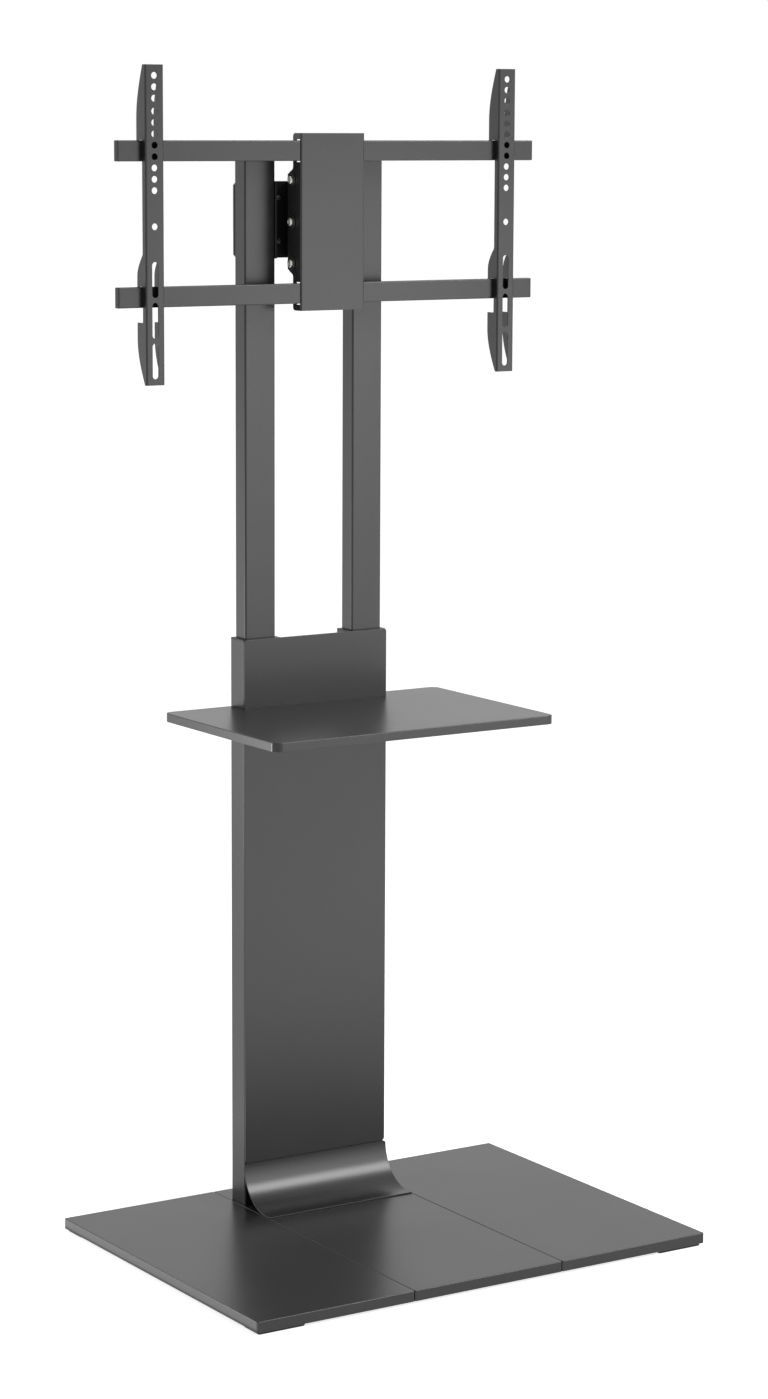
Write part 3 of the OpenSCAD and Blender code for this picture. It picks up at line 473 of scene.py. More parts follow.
def rim_section(thick, bend, ease):
    """Half section of a folded sheet: over the bend and down the rim, round its foot, up
    inside and into the inner bend. Returns how far in from the shape, how far below the
    top, and the share of the rim's depth that is added to that."""
    inner = 0.5 * MM
    away, down = quarter_round(7)
    short_away, short_down = quarter_round(4)
    inset = [bend * away, ease * short_down, thick - ease * short_away, thick + inner * down]
    below = [bend * down, -ease * short_away, -ease * short_down, thick + inner * away]
    return np.concatenate(inset), np.concatenate(below), np.repeat([0.0, 1.0, 0.0], [7, 8, 7])


# -------------------- sheets and tubes
def sweep(shell, place, shape, inset, depth, closed=True):
    """Carries a section along a shape: how far in from it and how deep, where the depth may
    differ from point to point."""
    points, moves = shape
    ring = points[:, None, :] + moves[:, None, :] * inset[:, None]
    shell.add(place(ring[..., 0], ring[..., 1], np.broadcast_to(depth, ring.shape[:2])),
              grid_faces(len(points), len(inset), close_u=closed))


def cap(shell, place, loops, depth):
    """A face with holes at one depth: the outer loop and the hole loops, joined by
    triangles."""
    faces = tessellate_polygon([[Vector((p[0], p[1], 0.0)) for p in loop] for loop in loops])
    flat = np.concatenate(loops)
    shell.add(place(flat[:, 0], flat[:, 1], np.full(len(flat), depth)), faces, flat=True)


def sheet(shell, place, thick, shapes, holes=(), borders=(), ease=0.4 * MM, closed=True):
    """A sheet of one thickness, its edges rounded by an ease. `place` maps (across, height,
    depth into the sheet) to space, and may wrap the sheet round bends. The edge section is
    carried along the sheet's own shapes, which are closed unless it is wrapped to a tube,
    and along its holes. Borders are the ways across where bends begin and end by turns:
    between them lie flat zones, closed by triangles, and bends, closed by strips from the
    lower edge to the upper one."""
    far, slack = 1e9, 1e-7
    section = edge_section(thick, ease)
    for shape in shapes:
        sweep(shell, place, shape, *section, closed)
    for shape in holes:
        sweep(shell, place, shape, *section)
    rim = np.concatenate([points + moves * ease for points, moves in shapes])
    inner = [points + moves * ease for points, moves in holes]
    limits = [-far, *borders, far]
    for k in range(len(limits) - 1):
        low, high = limits[k] - slack, limits[k + 1] + slack
        zone = rim[(rim[:, 0] >= low) & (rim[:, 0] <= high)]
        if k % 2 == 0:
            loops = [zone, *(loop for loop in inner if low < loop[:, 0].mean() < high)]
            for depth in (0.0, thick):
                cap(shell, place, loops, depth)
            continue
        is_low = zone[:, 1] < zone[:, 1].mean()
        lower, upper = (part[np.argsort(part[:, 0])] for part in (zone[is_low], zone[~is_low]))
        strip = np.stack([lower, upper], axis=1)
        for depth in (0.0, thick):
            shell.add(place(strip[..., 0], strip[..., 1], np.full(strip.shape[:2], depth)),
                      grid_faces(len(strip), 2))


def level(z0):
    """Lays (across, up, depth) on the level z0: x, y, and depth below it."""
    return lambda u, v, w: np.stack([u, v, z0 - w], axis=-1)


def upright_face(y0):
    """Stands (across, height, depth) on the plane y0: x, z, and depth behind it."""
    return lambda u, v, w: np.stack([u, y0 + w, v], axis=-1)


def channel(x0, y0, half, bend, back=1.0):
    """Wraps a sheet round two upright bends. Up to `half` from the middle it is flat; then
    the angle grows as the way over the bend's radius, to a right angle; past that it runs
    straight back. Depth is drawn off the radius."""
    def place(s, z, depth):
        way = np.abs(s)
        angle = np.clip((way - half) / bend, 0, math.pi / 2)
        rest = np.maximum(way - half - bend * math.pi / 2, 0)
        x = np.sign(s) * (np.minimum(way, half) + (bend - depth) * np.sin(angle))
        y = bend - (bend - depth) * np.cos(angle) + rest
        return np.stack([x0 + x, y0 + back * y, z + 0 * x], axis=-1)
    return place


def channel_shape(profile, half, bend, radius, steps=6):
    """Shape of a channel's blank, and the borders of its bends. The profile gives (distance
    behind the front face, height) down the right flange; both flanges have it, and the edge
    above and below goes over the bends by steps."""
    end = half + bend * math.pi / 2
    across = np.linspace(half, end, steps)
    down = np.array([(end + d - bend, z) for d, z in profile])
    over = np.concatenate([across[::-1], -across])
    top = np.stack([over, np.full(len(over), down[0, 1])], axis=1)
    foot = np.stack([-over, np.full(len(over), down[-1, 1])], axis=1)
    mirror = down * np.array([-1, 1])
    shape = outline(np.concatenate([down[::-1], top, mirror, foot]), radius, 4)
    return shape, (-end, -half, half, end)


def plate(node, place, thick, shape, ease=0.5 * MM):
    """A flat plate in place of a node."""
    shell = Shell()
    sheet(shell, place, thick, [shape], ease=ease)
    finish_sheet(shell, node, COAT)


def upright_plate(node, radii, steps=5, tuck=0.0, ease=0.5 * MM):
    """A plate that stands across the stand in place of a node, its foot lowered by a tuck."""
    lo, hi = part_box(node)
    shape = rectangle(lo.x, hi.x, lo.z - tuck, hi.z, radii, steps)
    plate(node, upright_face(lo.y), hi.y - lo.y, shape, ease)


def wrapped_tube(width, deep, corner):
    """Perimeter of a rounded rectangle, from the middle of its front anticlockwise seen from
    above: flat and quarter round by turns. Returns the borders between them, the points
    where it has edges, and the map from (way, depth) to the flat section."""
    flats = [width / 2 - corner, deep - 2 * corner, width - 2 * corner, deep - 2 * corner,
             width / 2 - corner]
    quarter = corner * math.pi / 2
    parts = [flats[0]]
    for flat in flats[1:]:
        parts += [quarter, flat]
    ends = np.cumsum(parts)
    starts = ends - parts
    w, d, r = width / 2, deep / 2, corner
    first = np.array([(0, -d), (w - r, -d), (w, r - d), (w, d - r), (w - r, d), (r - w, d),
                      (-w, d - r), (-w, r - d), (r - w, -d)])
    facing = np.array([0, 0, 1, 1, 2, 2, 3, 3, 4]) * math.pi / 2

    def section(s, depth):
        k = np.clip(np.searchsorted(ends, s), 0, len(parts) - 1)
        way = s - starts[k]
        round_part = k % 2 == 1
        angle = facing[k] + np.where(round_part, way / r, 0.0)
        straight = np.where(round_part, 0.0, way)
        centre_x = first[k, 0] - np.where(round_part, r * np.sin(facing[k]), 0.0)
        centre_y = first[k, 1] + np.where(round_part, r * np.cos(facing[k]), 0.0)
        reach = np.where(round_part, r, 0.0) - depth
        x = centre_x + straight * np.cos(facing[k]) + reach * np.sin(angle)
        y = centre_y + straight * np.sin(facing[k]) - reach * np.cos(angle)
        return x, y

    rounds = [np.linspace(starts[k], ends[k], 6) for k in (1, 3, 5, 7)]
    return ends[:-1], np.concatenate([[0.0], *rounds, [ends[-1]]]), section


def tube(shell, lo, hi, corner, wall, lying=False, ease=0.4 * MM, holes=()):
    """A tube of rounded rectangular section that fills a box: upright, or lying along x with
    its width up. Holes lie on the perimeter: (way, height)."""
    middle = (lo + hi) / 2
    low, high = (lo.x, hi.x) if lying else (lo.z, hi.z)
    width = hi.z - lo.z if lying else hi.x - lo.x
    borders, steps, section = wrapped_tube(width, hi.y - lo.y, corner)

    def place(s, v, depth):
        x, y = section(s, np.broadcast_to(depth, s.shape))
        along = v + 0 * x
        return np.stack([along, middle.y + y, middle.z - x] if lying
                        else [middle.x + x, middle.y + y, along], axis=-1)

    foot = np.stack([steps, np.full(len(steps), low)], axis=1)
    top = np.stack([steps, np.full(len(steps), high)], axis=1)[::-1]
    up = np.tile([0.0, 1.0], (len(steps), 1))
    sheet(shell, place, wall, [(foot, up), (top, -up)], holes, borders, ease, closed=False)


def bent_tray(shell, place, shape, thick, depths, bend, holes=(), ease=0.4 * MM):
    """A sheet folded down all round: the half section of its rim carried along the shape,
    where each point has its own rim depth, closed by the flat top and its underside."""
    inset, below, share = rim_section(thick, bend, ease)
    sweep(shell, place, shape, inset, below + share * np.reshape(depths, (-1, 1)))
    for hole_shape in holes:
        sweep(shell, place, hole_shape, *edge_section(thick, ease))
    inner = [points + moves * ease for points, moves in holes]
    points, moves = shape
    cap(shell, place, [points + moves * inset[0], *inner], 0.0)
    cap(shell, place, [points + moves * inset[-1], *inner], thick)


def moulding(shell, place, shape, section):
    """A solid moulding: a section of (inset, depth) carried round a shape, and both ends
    closed."""
    inset, depth = np.transpose(section)
    sweep(shell, place, shape, inset, depth)
    points, moves = shape
    for k in (0, -1):
        cap(shell, place, [points + moves * inset[k]], depth[k])


# -------------------- turned forms
def turned(shell, rings, centre, axis, turns=48):
    """A lathe form whose rings may be six sided: each ring has a radius, a height along the
    axis and a share of hexagon, where a hexagon's radius at angle t is its half width over
    the cosine of t's distance from the nearest flat. A ring of radius zero closes an end."""
    radius, height, share = np.asarray(rings, float).T
    axis = np.asarray(axis, float)
    side = np.array([0.0, 0.0, 1.0]) if abs(axis[2]) < 0.5 else np.array([1.0, 0.0, 0.0])
    u = np.cross(side, axis)
    v = np.cross(axis, u)
    t = np.linspace(0, 2 * math.pi, turns, endpoint=False)
    fold = (t + math.pi / 6) % (math.pi / 3) - math.pi / 6
    reach = radius * (1 + share * (1 / np.cos(fold)[:, None] - 1))
    spoke = np.cos(t)[:, None] * u + np.sin(t)[:, None] * v
    points = np.asarray(centre, float) + reach[..., None] * spoke[:, None]
    shell.add(points + height[:, None] * axis, grid_faces(turns, len(rings), close_u=True))


def crown(r0, h0, r1, h1, steps=6):
    """Rings on a quarter ellipse from the rim (r0, h0) up to (r1, h1)."""
    t = np.linspace(0, math.pi / 2, steps)
    return [(a, b, 0) for a, b in zip(r1 + (r0 - r1) * np.cos(t), h0 + (h1 - h0) * np.sin(t))]


def socket_screw(shell, seat, axis, shank_r, shank, head_r, head_h, socket, dome):
    """A screw with its seat at `seat` and its head towards `axis`: round shank, flat seat,
    upright rim, domed crown and a six sided socket with a dished floor. Dome is the crown's
    share of the head's height."""
    edge, lead = 0.3 * MM, 0.4 * MM
    rings = [(0, -shank, 0), (shank_r * 0.8, -shank, 0), (shank_r, -shank + shank_r * 0.2, 0),
             (shank_r, 0, 0), (head_r - edge, 0, 0), (head_r, edge, 0)]
    rings += crown(head_r, head_h * (1 - dome), socket * 1.3, head_h)
    rings += [(socket * 1.18, head_h, 0), (socket, head_h - lead, 1), (socket, head_h * 0.35, 1),
              (socket * 0.4, head_h * 0.22, 0.4), (0, head_h * 0.2, 0)]
    turned(shell, rings, seat, axis)


def drilled(shell, start, axis, height, outer, bore, lip, mouth, cut, share):
    """A round or six sided form with a bore whose mouths are chamfered. Over the height of a
    lip its outer edges go down to the radius of the cut."""
    rings = [(bore, mouth, 0), (bore + mouth, 0, 0), (cut, 0, 0), (outer, lip, share),
             (outer, height - lip, share), (cut, height, 0), (bore + mouth, height, 0),
             (bore, height - mouth, 0), (bore, mouth, 0)]
    turned(shell, rings, start, axis)


def hex_nut(shell, start, axis, height, flat, bore):
    """A nut whose six sides lie `flat` from its axis. At both ends it goes down to a circle
    of 0.96 times that radius."""
    drilled(shell, start, axis, height, flat, bore, 0.5 * MM, 0.3 * MM, flat * 0.96, 1)


def washer(shell, start, axis, thick, outer, bore):
    """A flat ring whose four edges are chamfered by at most 0.4 of its thickness."""
    edge = min(0.35 * MM, thick * 0.4)
    drilled(shell, start, axis, thick, outer, bore, edge, edge, outer - edge, 0)


def weld_nuts(shell, screws_node, lo, hi, thick, height, bore):
    """Round nuts with a chamfered foot, welded under a sheet whose box is (lo, hi), one
    below each of a node's screws that lies within the sheet's width."""
    outer, chamfer = 6 * MM, 0.4 * MM
    low, high = hi.z - thick - height, hi.z - thick
    rings = [(bore, low, 0), (outer - chamfer, low, 0), (outer, low + chamfer, 0),
             (outer, high, 0), (bore, high, 0), (bore, low, 0)]
    for a, b in solids(screws_node):
        x, y = (a[0] + b[0]) / 2, (a[1] + b[1]) / 2
        if lo.x < x < hi.x:
            turned(shell, rings, (x, y, 0), (0, 0, 1), turns=32)


# -------------------- base
def base_panels():
    """Three folded panels side by side. The outer ones have rims on three sides and a short
    fold at the seam; the middle one has short folds at both seams. Each is drawn out a
    little into its seams, so that no light shows through. Weld nuts sit below."""
    thick, bend, corner, nut_height = 2 * MM, 1.2 * MM, 2.6 * MM, 4 * MM
    seam_fold, rim_end, seam_draw, slip, near = 6 * MM, 6 * MM, 0.24 * MM, 0.5 * MM, 0.1 * MM
    for node in ("base_panel_left", "base_panel_centre", "base_panel_right"):
        is_centre = node == "base_panel_centre"
        seam_left, seam_right = node != "base_panel_left", node != "base_panel_right"
        lo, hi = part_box(node)
        lo.x -= seam_draw * seam_left
        hi.x += seam_draw * seam_right
        points, moves = footprint(lo, hi, corner, steps=8, marks=(rim_end,))
        x, y = points.T
        at_seam = ((x < lo.x + near) & seam_left) | ((x > hi.x - near) & seam_right)
        inside = (y > lo.y + rim_end) & (y < hi.y - rim_end)
        depths = np.where(at_seam & inside, seam_fold, hi.z - lo.z)
        holes = []
        for sleeve in ("sleeve_left", "sleeve_right") if is_centre else ():
            a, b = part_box(sleeve)
            holes.append(window(a.x - slip, b.x + slip, a.y - slip, b.y + slip, radius=3 * MM))
        shell = Shell()
        bent_tray(shell, level(hi.z), (points, moves), thick, depths, bend, holes)
        screws_node, bore = ("centre_bolts", 3 * MM) if is_centre else ("base_screws", 2.5 * MM)
        weld_nuts(shell, screws_node, lo, hi, thick, nut_height, bore)
        # Painted shade: the panels take the darker copy of the anthracite coat.
        finish_sheet(shell, node, BASE_COAT_PAINTED_SHADE)


def cove():
    """Sheet bent to a quarter round with a flat lip: its section is carried from end to end.
    Near both ends the arc stops lower, by r - sqrt(r^2 - t^2), which rounds the top corners,
    and the section shrinks by a quarter round, which eases the end edges."""
    lo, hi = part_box("base_cove")
    half, thick, radius = hi.x, 2 * MM, 60 * MM
    corner, ease, lip_ease = 4 * MM, 0.6 * MM, 0.35 * MM
    centre_y, centre_z = hi.y - thick - radius, hi.z
    a = np.linspace(0, math.pi / 2, 14)
    round_part = half - corner + corner * np.sin(a)
    last = half - ease * (1 - np.sin(a))
    reach = np.unique(np.concatenate([np.linspace(0, half - corner, 5), round_part, last]))
    xs = np.concatenate([-reach[:0:-1], reach])
    past = np.clip(np.abs(xs) - (half - corner), 0, corner)
    drop = corner - np.sqrt(corner**2 - past**2)
    past_last = np.clip(np.abs(xs) - (half - ease), 0, ease) / ease
    draw = (ease * (1 - np.sqrt(1 - past_last**2)))[:, None]
    turn = math.pi / 2 - (drop[:, None] + draw) / radius
    angle = -math.pi / 2 + np.linspace(0, 1, 41) * turn
    sides = [(centre_y + r * np.cos(angle), centre_z + r * np.sin(angle))
             for r in (radius + draw, radius + thick - draw)]
    (front_y, front_z), (back_y, back_z) = sides
    away, down = (lip_ease * part for part in quarter_round(4))
    lip_y = lo.y + draw + away
    lip_top, lip_foot = lo.z + thick - draw - down, lo.z + draw + down
    ys = np.concatenate([lip_y[:, ::-1], front_y, back_y[:, ::-1], lip_y], axis=1)
    zs = np.concatenate([lip_top[:, ::-1], front_z, back_z[:, ::-1], lip_foot], axis=1)
    points = np.stack([np.broadcast_to(xs[:, None], ys.shape), ys, zs], axis=-1)
    n, m = ys.shape
    shell = Shell()
    shell.add(points, [*grid_faces(n, m, close_v=True), tuple(range(m)),
                       tuple((n - 1) * m + k for k in range(m))])
    # Painted shade: the cove takes the darker copy of the anthracite coat.
    finish_turned(shell, "base_cove", BASE_COAT_PAINTED_SHADE, "sheet", smooth=50)


def under_base():
    """Bars and foot plate below the panels, and the rubber pads they stand on: a rounded
    top, a groove round the waist and a chamfered foot, each point (inset, depth)."""
    for node in ("base_bar_front", "base_bar_rear", "foot_plate"):
        lo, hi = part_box(node)
        shape = footprint(lo, hi, corner=1.5 * MM, steps=4)
        plate(node, level(hi.z), hi.z - lo.z, shape, ease=0.6 * MM)
    shell = Shell()
    for lo, hi in solids("floor_pads"):
        tall = (hi[2] - lo[2]) / MM
        section = np.array([(0.6, 0), (0.2, 0.15), (0, 0.6), (0, 3.2), (0.7, 3.6), (0.7, 4.4),
                            (0, 4.8), (0.1, tall - 1.4), (0.5, tall - 0.5), (1.3, tall)]) * MM
        moulding(shell, level(hi[2]), footprint(lo, hi, corner=4 * MM, steps=8), section)
    finish_turned(shell, "floor_pads", RUBBER, "moulded", smooth=30)


# -------------------- column
def outer_tubes():
    """Outer tubes with a plug in their foot, and the plastic guides in their mouths: a
    collar that lies on the tube, and a neck inside it."""
    plug_height, collar_height = 12 * MM, 1.5 * MM
    for side in ("left", "right"):
        lo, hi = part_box("sleeve_" + side)
        middle = (lo + hi) / 2
        shell = Shell()
        tube(shell, lo, hi, corner=3 * MM, wall=2 * MM)
        plug = footprint(lo, hi, corner=1.2 * MM, inset=1.9 * MM)
        sheet(shell, level(lo.z + plug_height), plug_height, [plug],
              [hole(middle.x, middle.y, radius=4 * MM)], ease=0.3 * MM)
        finish_sheet(shell, "sleeve_" + side, COAT, "tube")
        post_lo, post_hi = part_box("post_" + side)
        lo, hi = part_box("sleeve_bush_" + side)
        mouth = window(post_lo.x, post_hi.x, post_lo.y, post_hi.y, radius=2.6 * MM)
        neck = footprint(lo, hi, corner=1 * MM, inset=2 * MM)
        shell = Shell()
        sheet(shell, level(hi.z), collar_height, [footprint(lo, hi, corner=3 * MM)], [mouth])
        sheet(shell, level(hi.z - collar_height), hi.z - lo.z - collar_height, [neck], [mouth],
              ease=0.3 * MM)
        finish_sheet(shell, "sleeve_bush_" + side, PLASTIC, "moulded")


def posts():
    """Inner posts with a long slot in the back wall for the clamp bolts, and their caps: a
    domed rim, and a plug inside the post."""
    corner, wall, rim, plug_inset = 2.6 * MM, 2 * MM, 2 * MM, 2.05 * MM
    slot_low, slot_high, slot_r = 983 * MM, 1493 * MM, 4.3 * MM
    for side in ("left", "right"):
        lo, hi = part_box("post_" + side)
        width, deep = hi.x - lo.x, hi.y - lo.y
        back_middle = (width - corner * 2) + (deep - 2 * corner) + corner * math.pi
        slot = slot_hole(back_middle, slot_low, slot_high, slot_r)
        shell = Shell()
        tube(shell, lo, hi, corner, wall, holes=[slot])
        finish_sheet(shell, "post_" + side, COAT, "tube")
        lo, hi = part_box("post_cap_" + side)
        tall = hi.z - lo.z
        away, down = quarter_round(7)
        section = [*zip(1.4 * MM * away, 1.2 * MM * down), (0, rim), (plug_inset, rim),
                   (plug_inset, tall - 1 * MM), (2.5 * MM, tall)]
        shell = Shell()
        moulding(shell, level(hi.z), footprint(lo, hi, corner, steps=8), section)
        finish_turned(shell, "post_cap_" + side, PLASTIC, "moulded")


def column_plates():
    """Front plates with round corners at their free ends, the braces behind them, and the
    square tube that carries the shelf. The upper plate is tucked in behind the shelf's
    fold, so that no light shows through."""
    free, joint = 4 * MM, 0.6 * MM
    upright_plate("lower_front_panel", [free, free, joint, joint], steps=8)
    upright_plate("upper_front_panel", [joint, joint, free, free], steps=8, tuck=1.4 * MM)
    for node in ("column_brace_low", "column_brace_mid", "column_brace_top"):
        upright_plate(node, radii=0.8 * MM, ease=0.4 * MM)
    shell = Shell()
    tube(shell, *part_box("shelf_beam"), corner=2.5 * MM, wall=2 * MM, lying=True)
    finish_sheet(shell, "shelf_beam", COAT, "tube")


def shelf():
    """Shelf folded down all round, with large corner rounds and an opening for the column,
    and the T-shaped plate that carries it."""
    lo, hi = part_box("shelf_tray")
    thick, bend, nut_height = 1.5 * MM, 1.2 * MM, 3.5 * MM
    notch_x, notch_y = 118.5 * MM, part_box("upper_front_panel")[0].y - 0.02 * MM
    corners = [(lo.x, lo.y), (hi.x, lo.y), (hi.x, hi.y), (notch_x, hi.y), (notch_x, notch_y),
               (-notch_x, notch_y), (-notch_x, hi.y), (lo.x, hi.y)]
    radii = np.array([12, 12, 12, 2, 0, 0, 2, 12]) * MM
    shell = Shell()
    shape = outline(corners, radii, steps=12)
    bent_tray(shell, level(hi.z), shape, thick, hi.z - lo.z, bend)
    weld_nuts(shell, "shelf_screws", lo, hi, thick, nut_height, bore=2.5 * MM)
    finish_sheet(shell, "shelf_tray", COAT)
    lo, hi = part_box("shelf_carrier")
    tail, wing = 57.5 * MM, lo.y + 100 * MM
    corners = [(lo.x, lo.y), (hi.x, lo.y), (hi.x, wing), (tail, wing), (tail, hi.y),
               (-tail, hi.y), (-tail, wing), (lo.x, wing)]
    plate("shelf_carrier", level(hi.z), hi.z - lo.z, outline(corners, radii=3 * MM))


# -------------------- carriage and head
PIN_Y = sum(corner.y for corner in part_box("swivel_nut")) / 2
PIN_BORE = 6.05 * MM
TILT_REACH = 23 * MM    # from the head's front back to the tilt axis
LOCK_RADIUS = 57 * MM   # from the tilt axis to the lock bolts


def carriage():
    """Folded beam between the posts with its two lips, and the clamp plate behind, whose
    corners are cut off."""
    lo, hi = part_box("carriage_beam")
    thick, bend, ease = 3 * MM, 3.6 * MM, 0.5 * MM
    half, middle = (hi.x - lo.x) / 2 - bend, (lo.z + hi.z) / 2
    flange = hi.y - lo.y
    shape, borders = channel_shape([(flange, hi.z), (flange, lo.z)], half, bend, radius=1 * MM)
    bolts = [hole(x * MM, middle + z * MM, radius=3 * MM) for x in (-42, 42) for z in (-30, 30)]
    shell = Shell()
    place = channel(0.0, hi.y, half, bend, back=-1.0)
    sheet(shell, place, thick, [shape], bolts, borders, ease)
    lip = rectangle(-30 * MM, 30 * MM, lo.y, hi.y - 1 * MM, radii=2 * MM)
    for top in (lo.z + thick, hi.z):
        sheet(shell, level(top), thick, [lip], [hole(0, PIN_Y, PIN_BORE)], ease=ease)
    # Black coat, partly painted shade: the recess between the posts is darkened in the beam's
    # colour.
    finish_sheet(shell, "carriage_beam", BLACK_COAT_AND_SHADE, "folded")
    lo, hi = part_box("clamp_plate")
    cut = 4 * MM
    corners = [(hi.x, lo.z + cut), (hi.x, hi.z - cut), (hi.x - cut, hi.z), (lo.x + cut, hi.z),
               (lo.x, hi.z - cut), (lo.x, lo.z + cut), (lo.x + cut, lo.z), (hi.x - cut, lo.z)]
    shape = outline(corners, radii=0.8 * MM, steps=3)
    plate("clamp_plate", upright_face(lo.y), hi.y - lo.y, shape, ease)


def yoke():
    """Yoke: two cheeks folded forward from a web, a neck and the swivel barrel behind it.
    The curved slots are ring sectors round the tilt axis, long enough for 5 degrees back
    and 8 forward. The profile is in millimetres from the tilt axis: (back, up)."""
    head_lo, head_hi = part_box("head_channel")
    axis_y, axis_z = head_lo.y + TILT_REACH, (head_lo.z + head_hi.z) / 2
    lo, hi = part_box("tilt_yoke")
    thick, bend, reach, slot_half = 3 * MM, 3.5 * MM, 18.5 * MM, 3.3 * MM
    half, back = (hi.x - lo.x) / 2 - bend, axis_y + reach
    profile = [(back - (axis_y + y * MM), axis_z + z * MM) for y, z in
               ((-14, 66), (-14, 30), (-9, 15), (-9, -15), (-11, -30), (-11, -66))]
    shape, borders = channel_shape(profile, half, bend, radius=1.5 * MM)
    across = borders[3] + reach - bend
    past = math.asin(slot_half / LOCK_RADIUS)
    t = np.linspace(-math.radians(5) - past, math.radians(8) + past, 12)
    holes = []
    for side in (-1, 1):
        holes.append(hole(side * across, axis_z, radius=4 * MM))
        for end in (-1, 1):
            inner, outer = (np.stack([side * (across + end * r * np.sin(t)),
                                      axis_z + end * r * np.cos(t)], axis=1)
                            for r in (LOCK_RADIUS - slot_half, LOCK_RADIUS + slot_half))
            loop = np.concatenate([inner, outer[::-1]])
            x, z = loop.T
            clockwise = np.sum(x * np.roll(z, -1) - z * np.roll(x, -1)) < 0
            holes.append(outline(loop if clockwise else loop[::-1]))
    shell = Shell()
    sheet(shell, channel(0.0, back, half, bend, back=-1.0), thick, [shape], holes, borders)
    washers_lo, washers_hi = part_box("swivel_washers")
    washer_thick, outer, edge = 1.5 * MM, 11 * MM, 0.5 * MM
    low, high = washers_lo.z + washer_thick, washers_hi.z - washer_thick
    neck = rectangle(-8 * MM, 8 * MM, back - 0.5 * MM, PIN_Y - 7 * MM, radii=0.5 * MM)
    sheet(shell, level(high), high - low, [neck])
    rings = [(PIN_BORE, low, 0), (outer - edge, low, 0), (outer, low + edge, 0),
             (outer, high - edge, 0), (outer - edge, high, 0), (PIN_BORE, high, 0),
             (PIN_BORE, low, 0)]
    turned(shell, rings, (0, PIN_Y, 0), (0, 0, 1), turns=64)
    # Black coat, partly painted shade: the shade behind the head is darkened into the yoke's
    # colour.
    finish_sheet(shell, "tilt_yoke", BLACK_COAT_AND_SHADE, "folded")


def head():
    """Head channel: a plain front and two side flanges with round ears at the lock bolts,
    windows for the rails and a small pin hole below. An ear is an arc round its bolt, from
    where it leaves the flange's upper back edge to where it meets the waist."""
    lo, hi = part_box("head_channel")
    thick, bend, ear, slip = 2 * MM, 2.3 * MM, 13.5 * MM, 1.5 * MM
    half, middle = (hi.x - lo.x) / 2 - bend, (lo.z + hi.z) / 2
    edge_past, waist_past, pin_in, pin_down = -1.6 * MM, 7.7 * MM, 13 * MM, 64 * MM
    t = np.linspace(math.acos(edge_past / ear), -math.acos(waist_past / ear), 22)
    arc = [(TILT_REACH + ear * math.cos(a), middle + LOCK_RADIUS + ear * math.sin(a)) for a in t]
    upper = [(TILT_REACH + edge_past, hi.z), *arc]
    profile = upper + [(d, 2 * middle - z) for d, z in upper[::-1]]
    shape, borders = channel_shape(profile, half, bend, radius=5 * MM)
    holes = []
    for side in (-1, 1):
        axis = side * (borders[3] + TILT_REACH - bend)
        holes.append(hole(axis, middle, radius=4.05 * MM))
        holes += [hole(axis, middle + end * LOCK_RADIUS, radius=3 * MM) for end in (-1, 1)]
        holes.append(hole(axis - side * pin_in, middle - pin_down, radius=1.3 * MM, steps=16))
        for rail in ("rail_top", "rail_bottom"):
            a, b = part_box(rail)
            near = borders[3] + 0.45 * MM
            far = borders[3] + (b.y + slip - lo.y) - bend
            low, high = sorted((side * near, side * far))
            holes.append(window(low, high, a.z - slip, b.z + slip, radius=0.8 * MM))
    shell = Shell()
    sheet(shell, channel(0.0, lo.y, half, bend), thick, [shape], holes, borders)
    finish_sheet(shell, "head_channel", COAT, "folded")


def rails():
    """Rails of rectangular tube, and the plastic caps in their ends: a rim outside, and a
    plug inside the rail, each point (inset, depth) in millimetres."""
    corner = 1.6 * MM
    for node in ("rail_top", "rail_bottom"):
        shell = Shell()
        tube(shell, *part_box(node), corner, wall=1.5 * MM, lying=True, ease=0.3 * MM)
        finish_sheet(shell, node, COAT, "tube")
    section = np.array([(0.9, 0), (0.45, 0.1), (0.12, 0.35), (0, 0.8), (0, 1.5), (1.55, 1.5),
                        (1.55, 9.5)]) * MM
    shell = Shell()
    for lo, hi in solids("rail_end_caps"):
        end, inward = (hi[0], -1.0) if hi[0] > 0 else (lo[0], 1.0)

        def place(u, v, w):
            return np.stack([end + inward * w, u + 0 * w, v + 0 * w], axis=-1)

        shape = rectangle(lo[1], hi[1], lo[2], hi[2], radii=corner, steps=6)
        moulding(shell, place, shape, section)
    finish_turned(shell, "rail_end_caps", PLASTIC, "moulded")


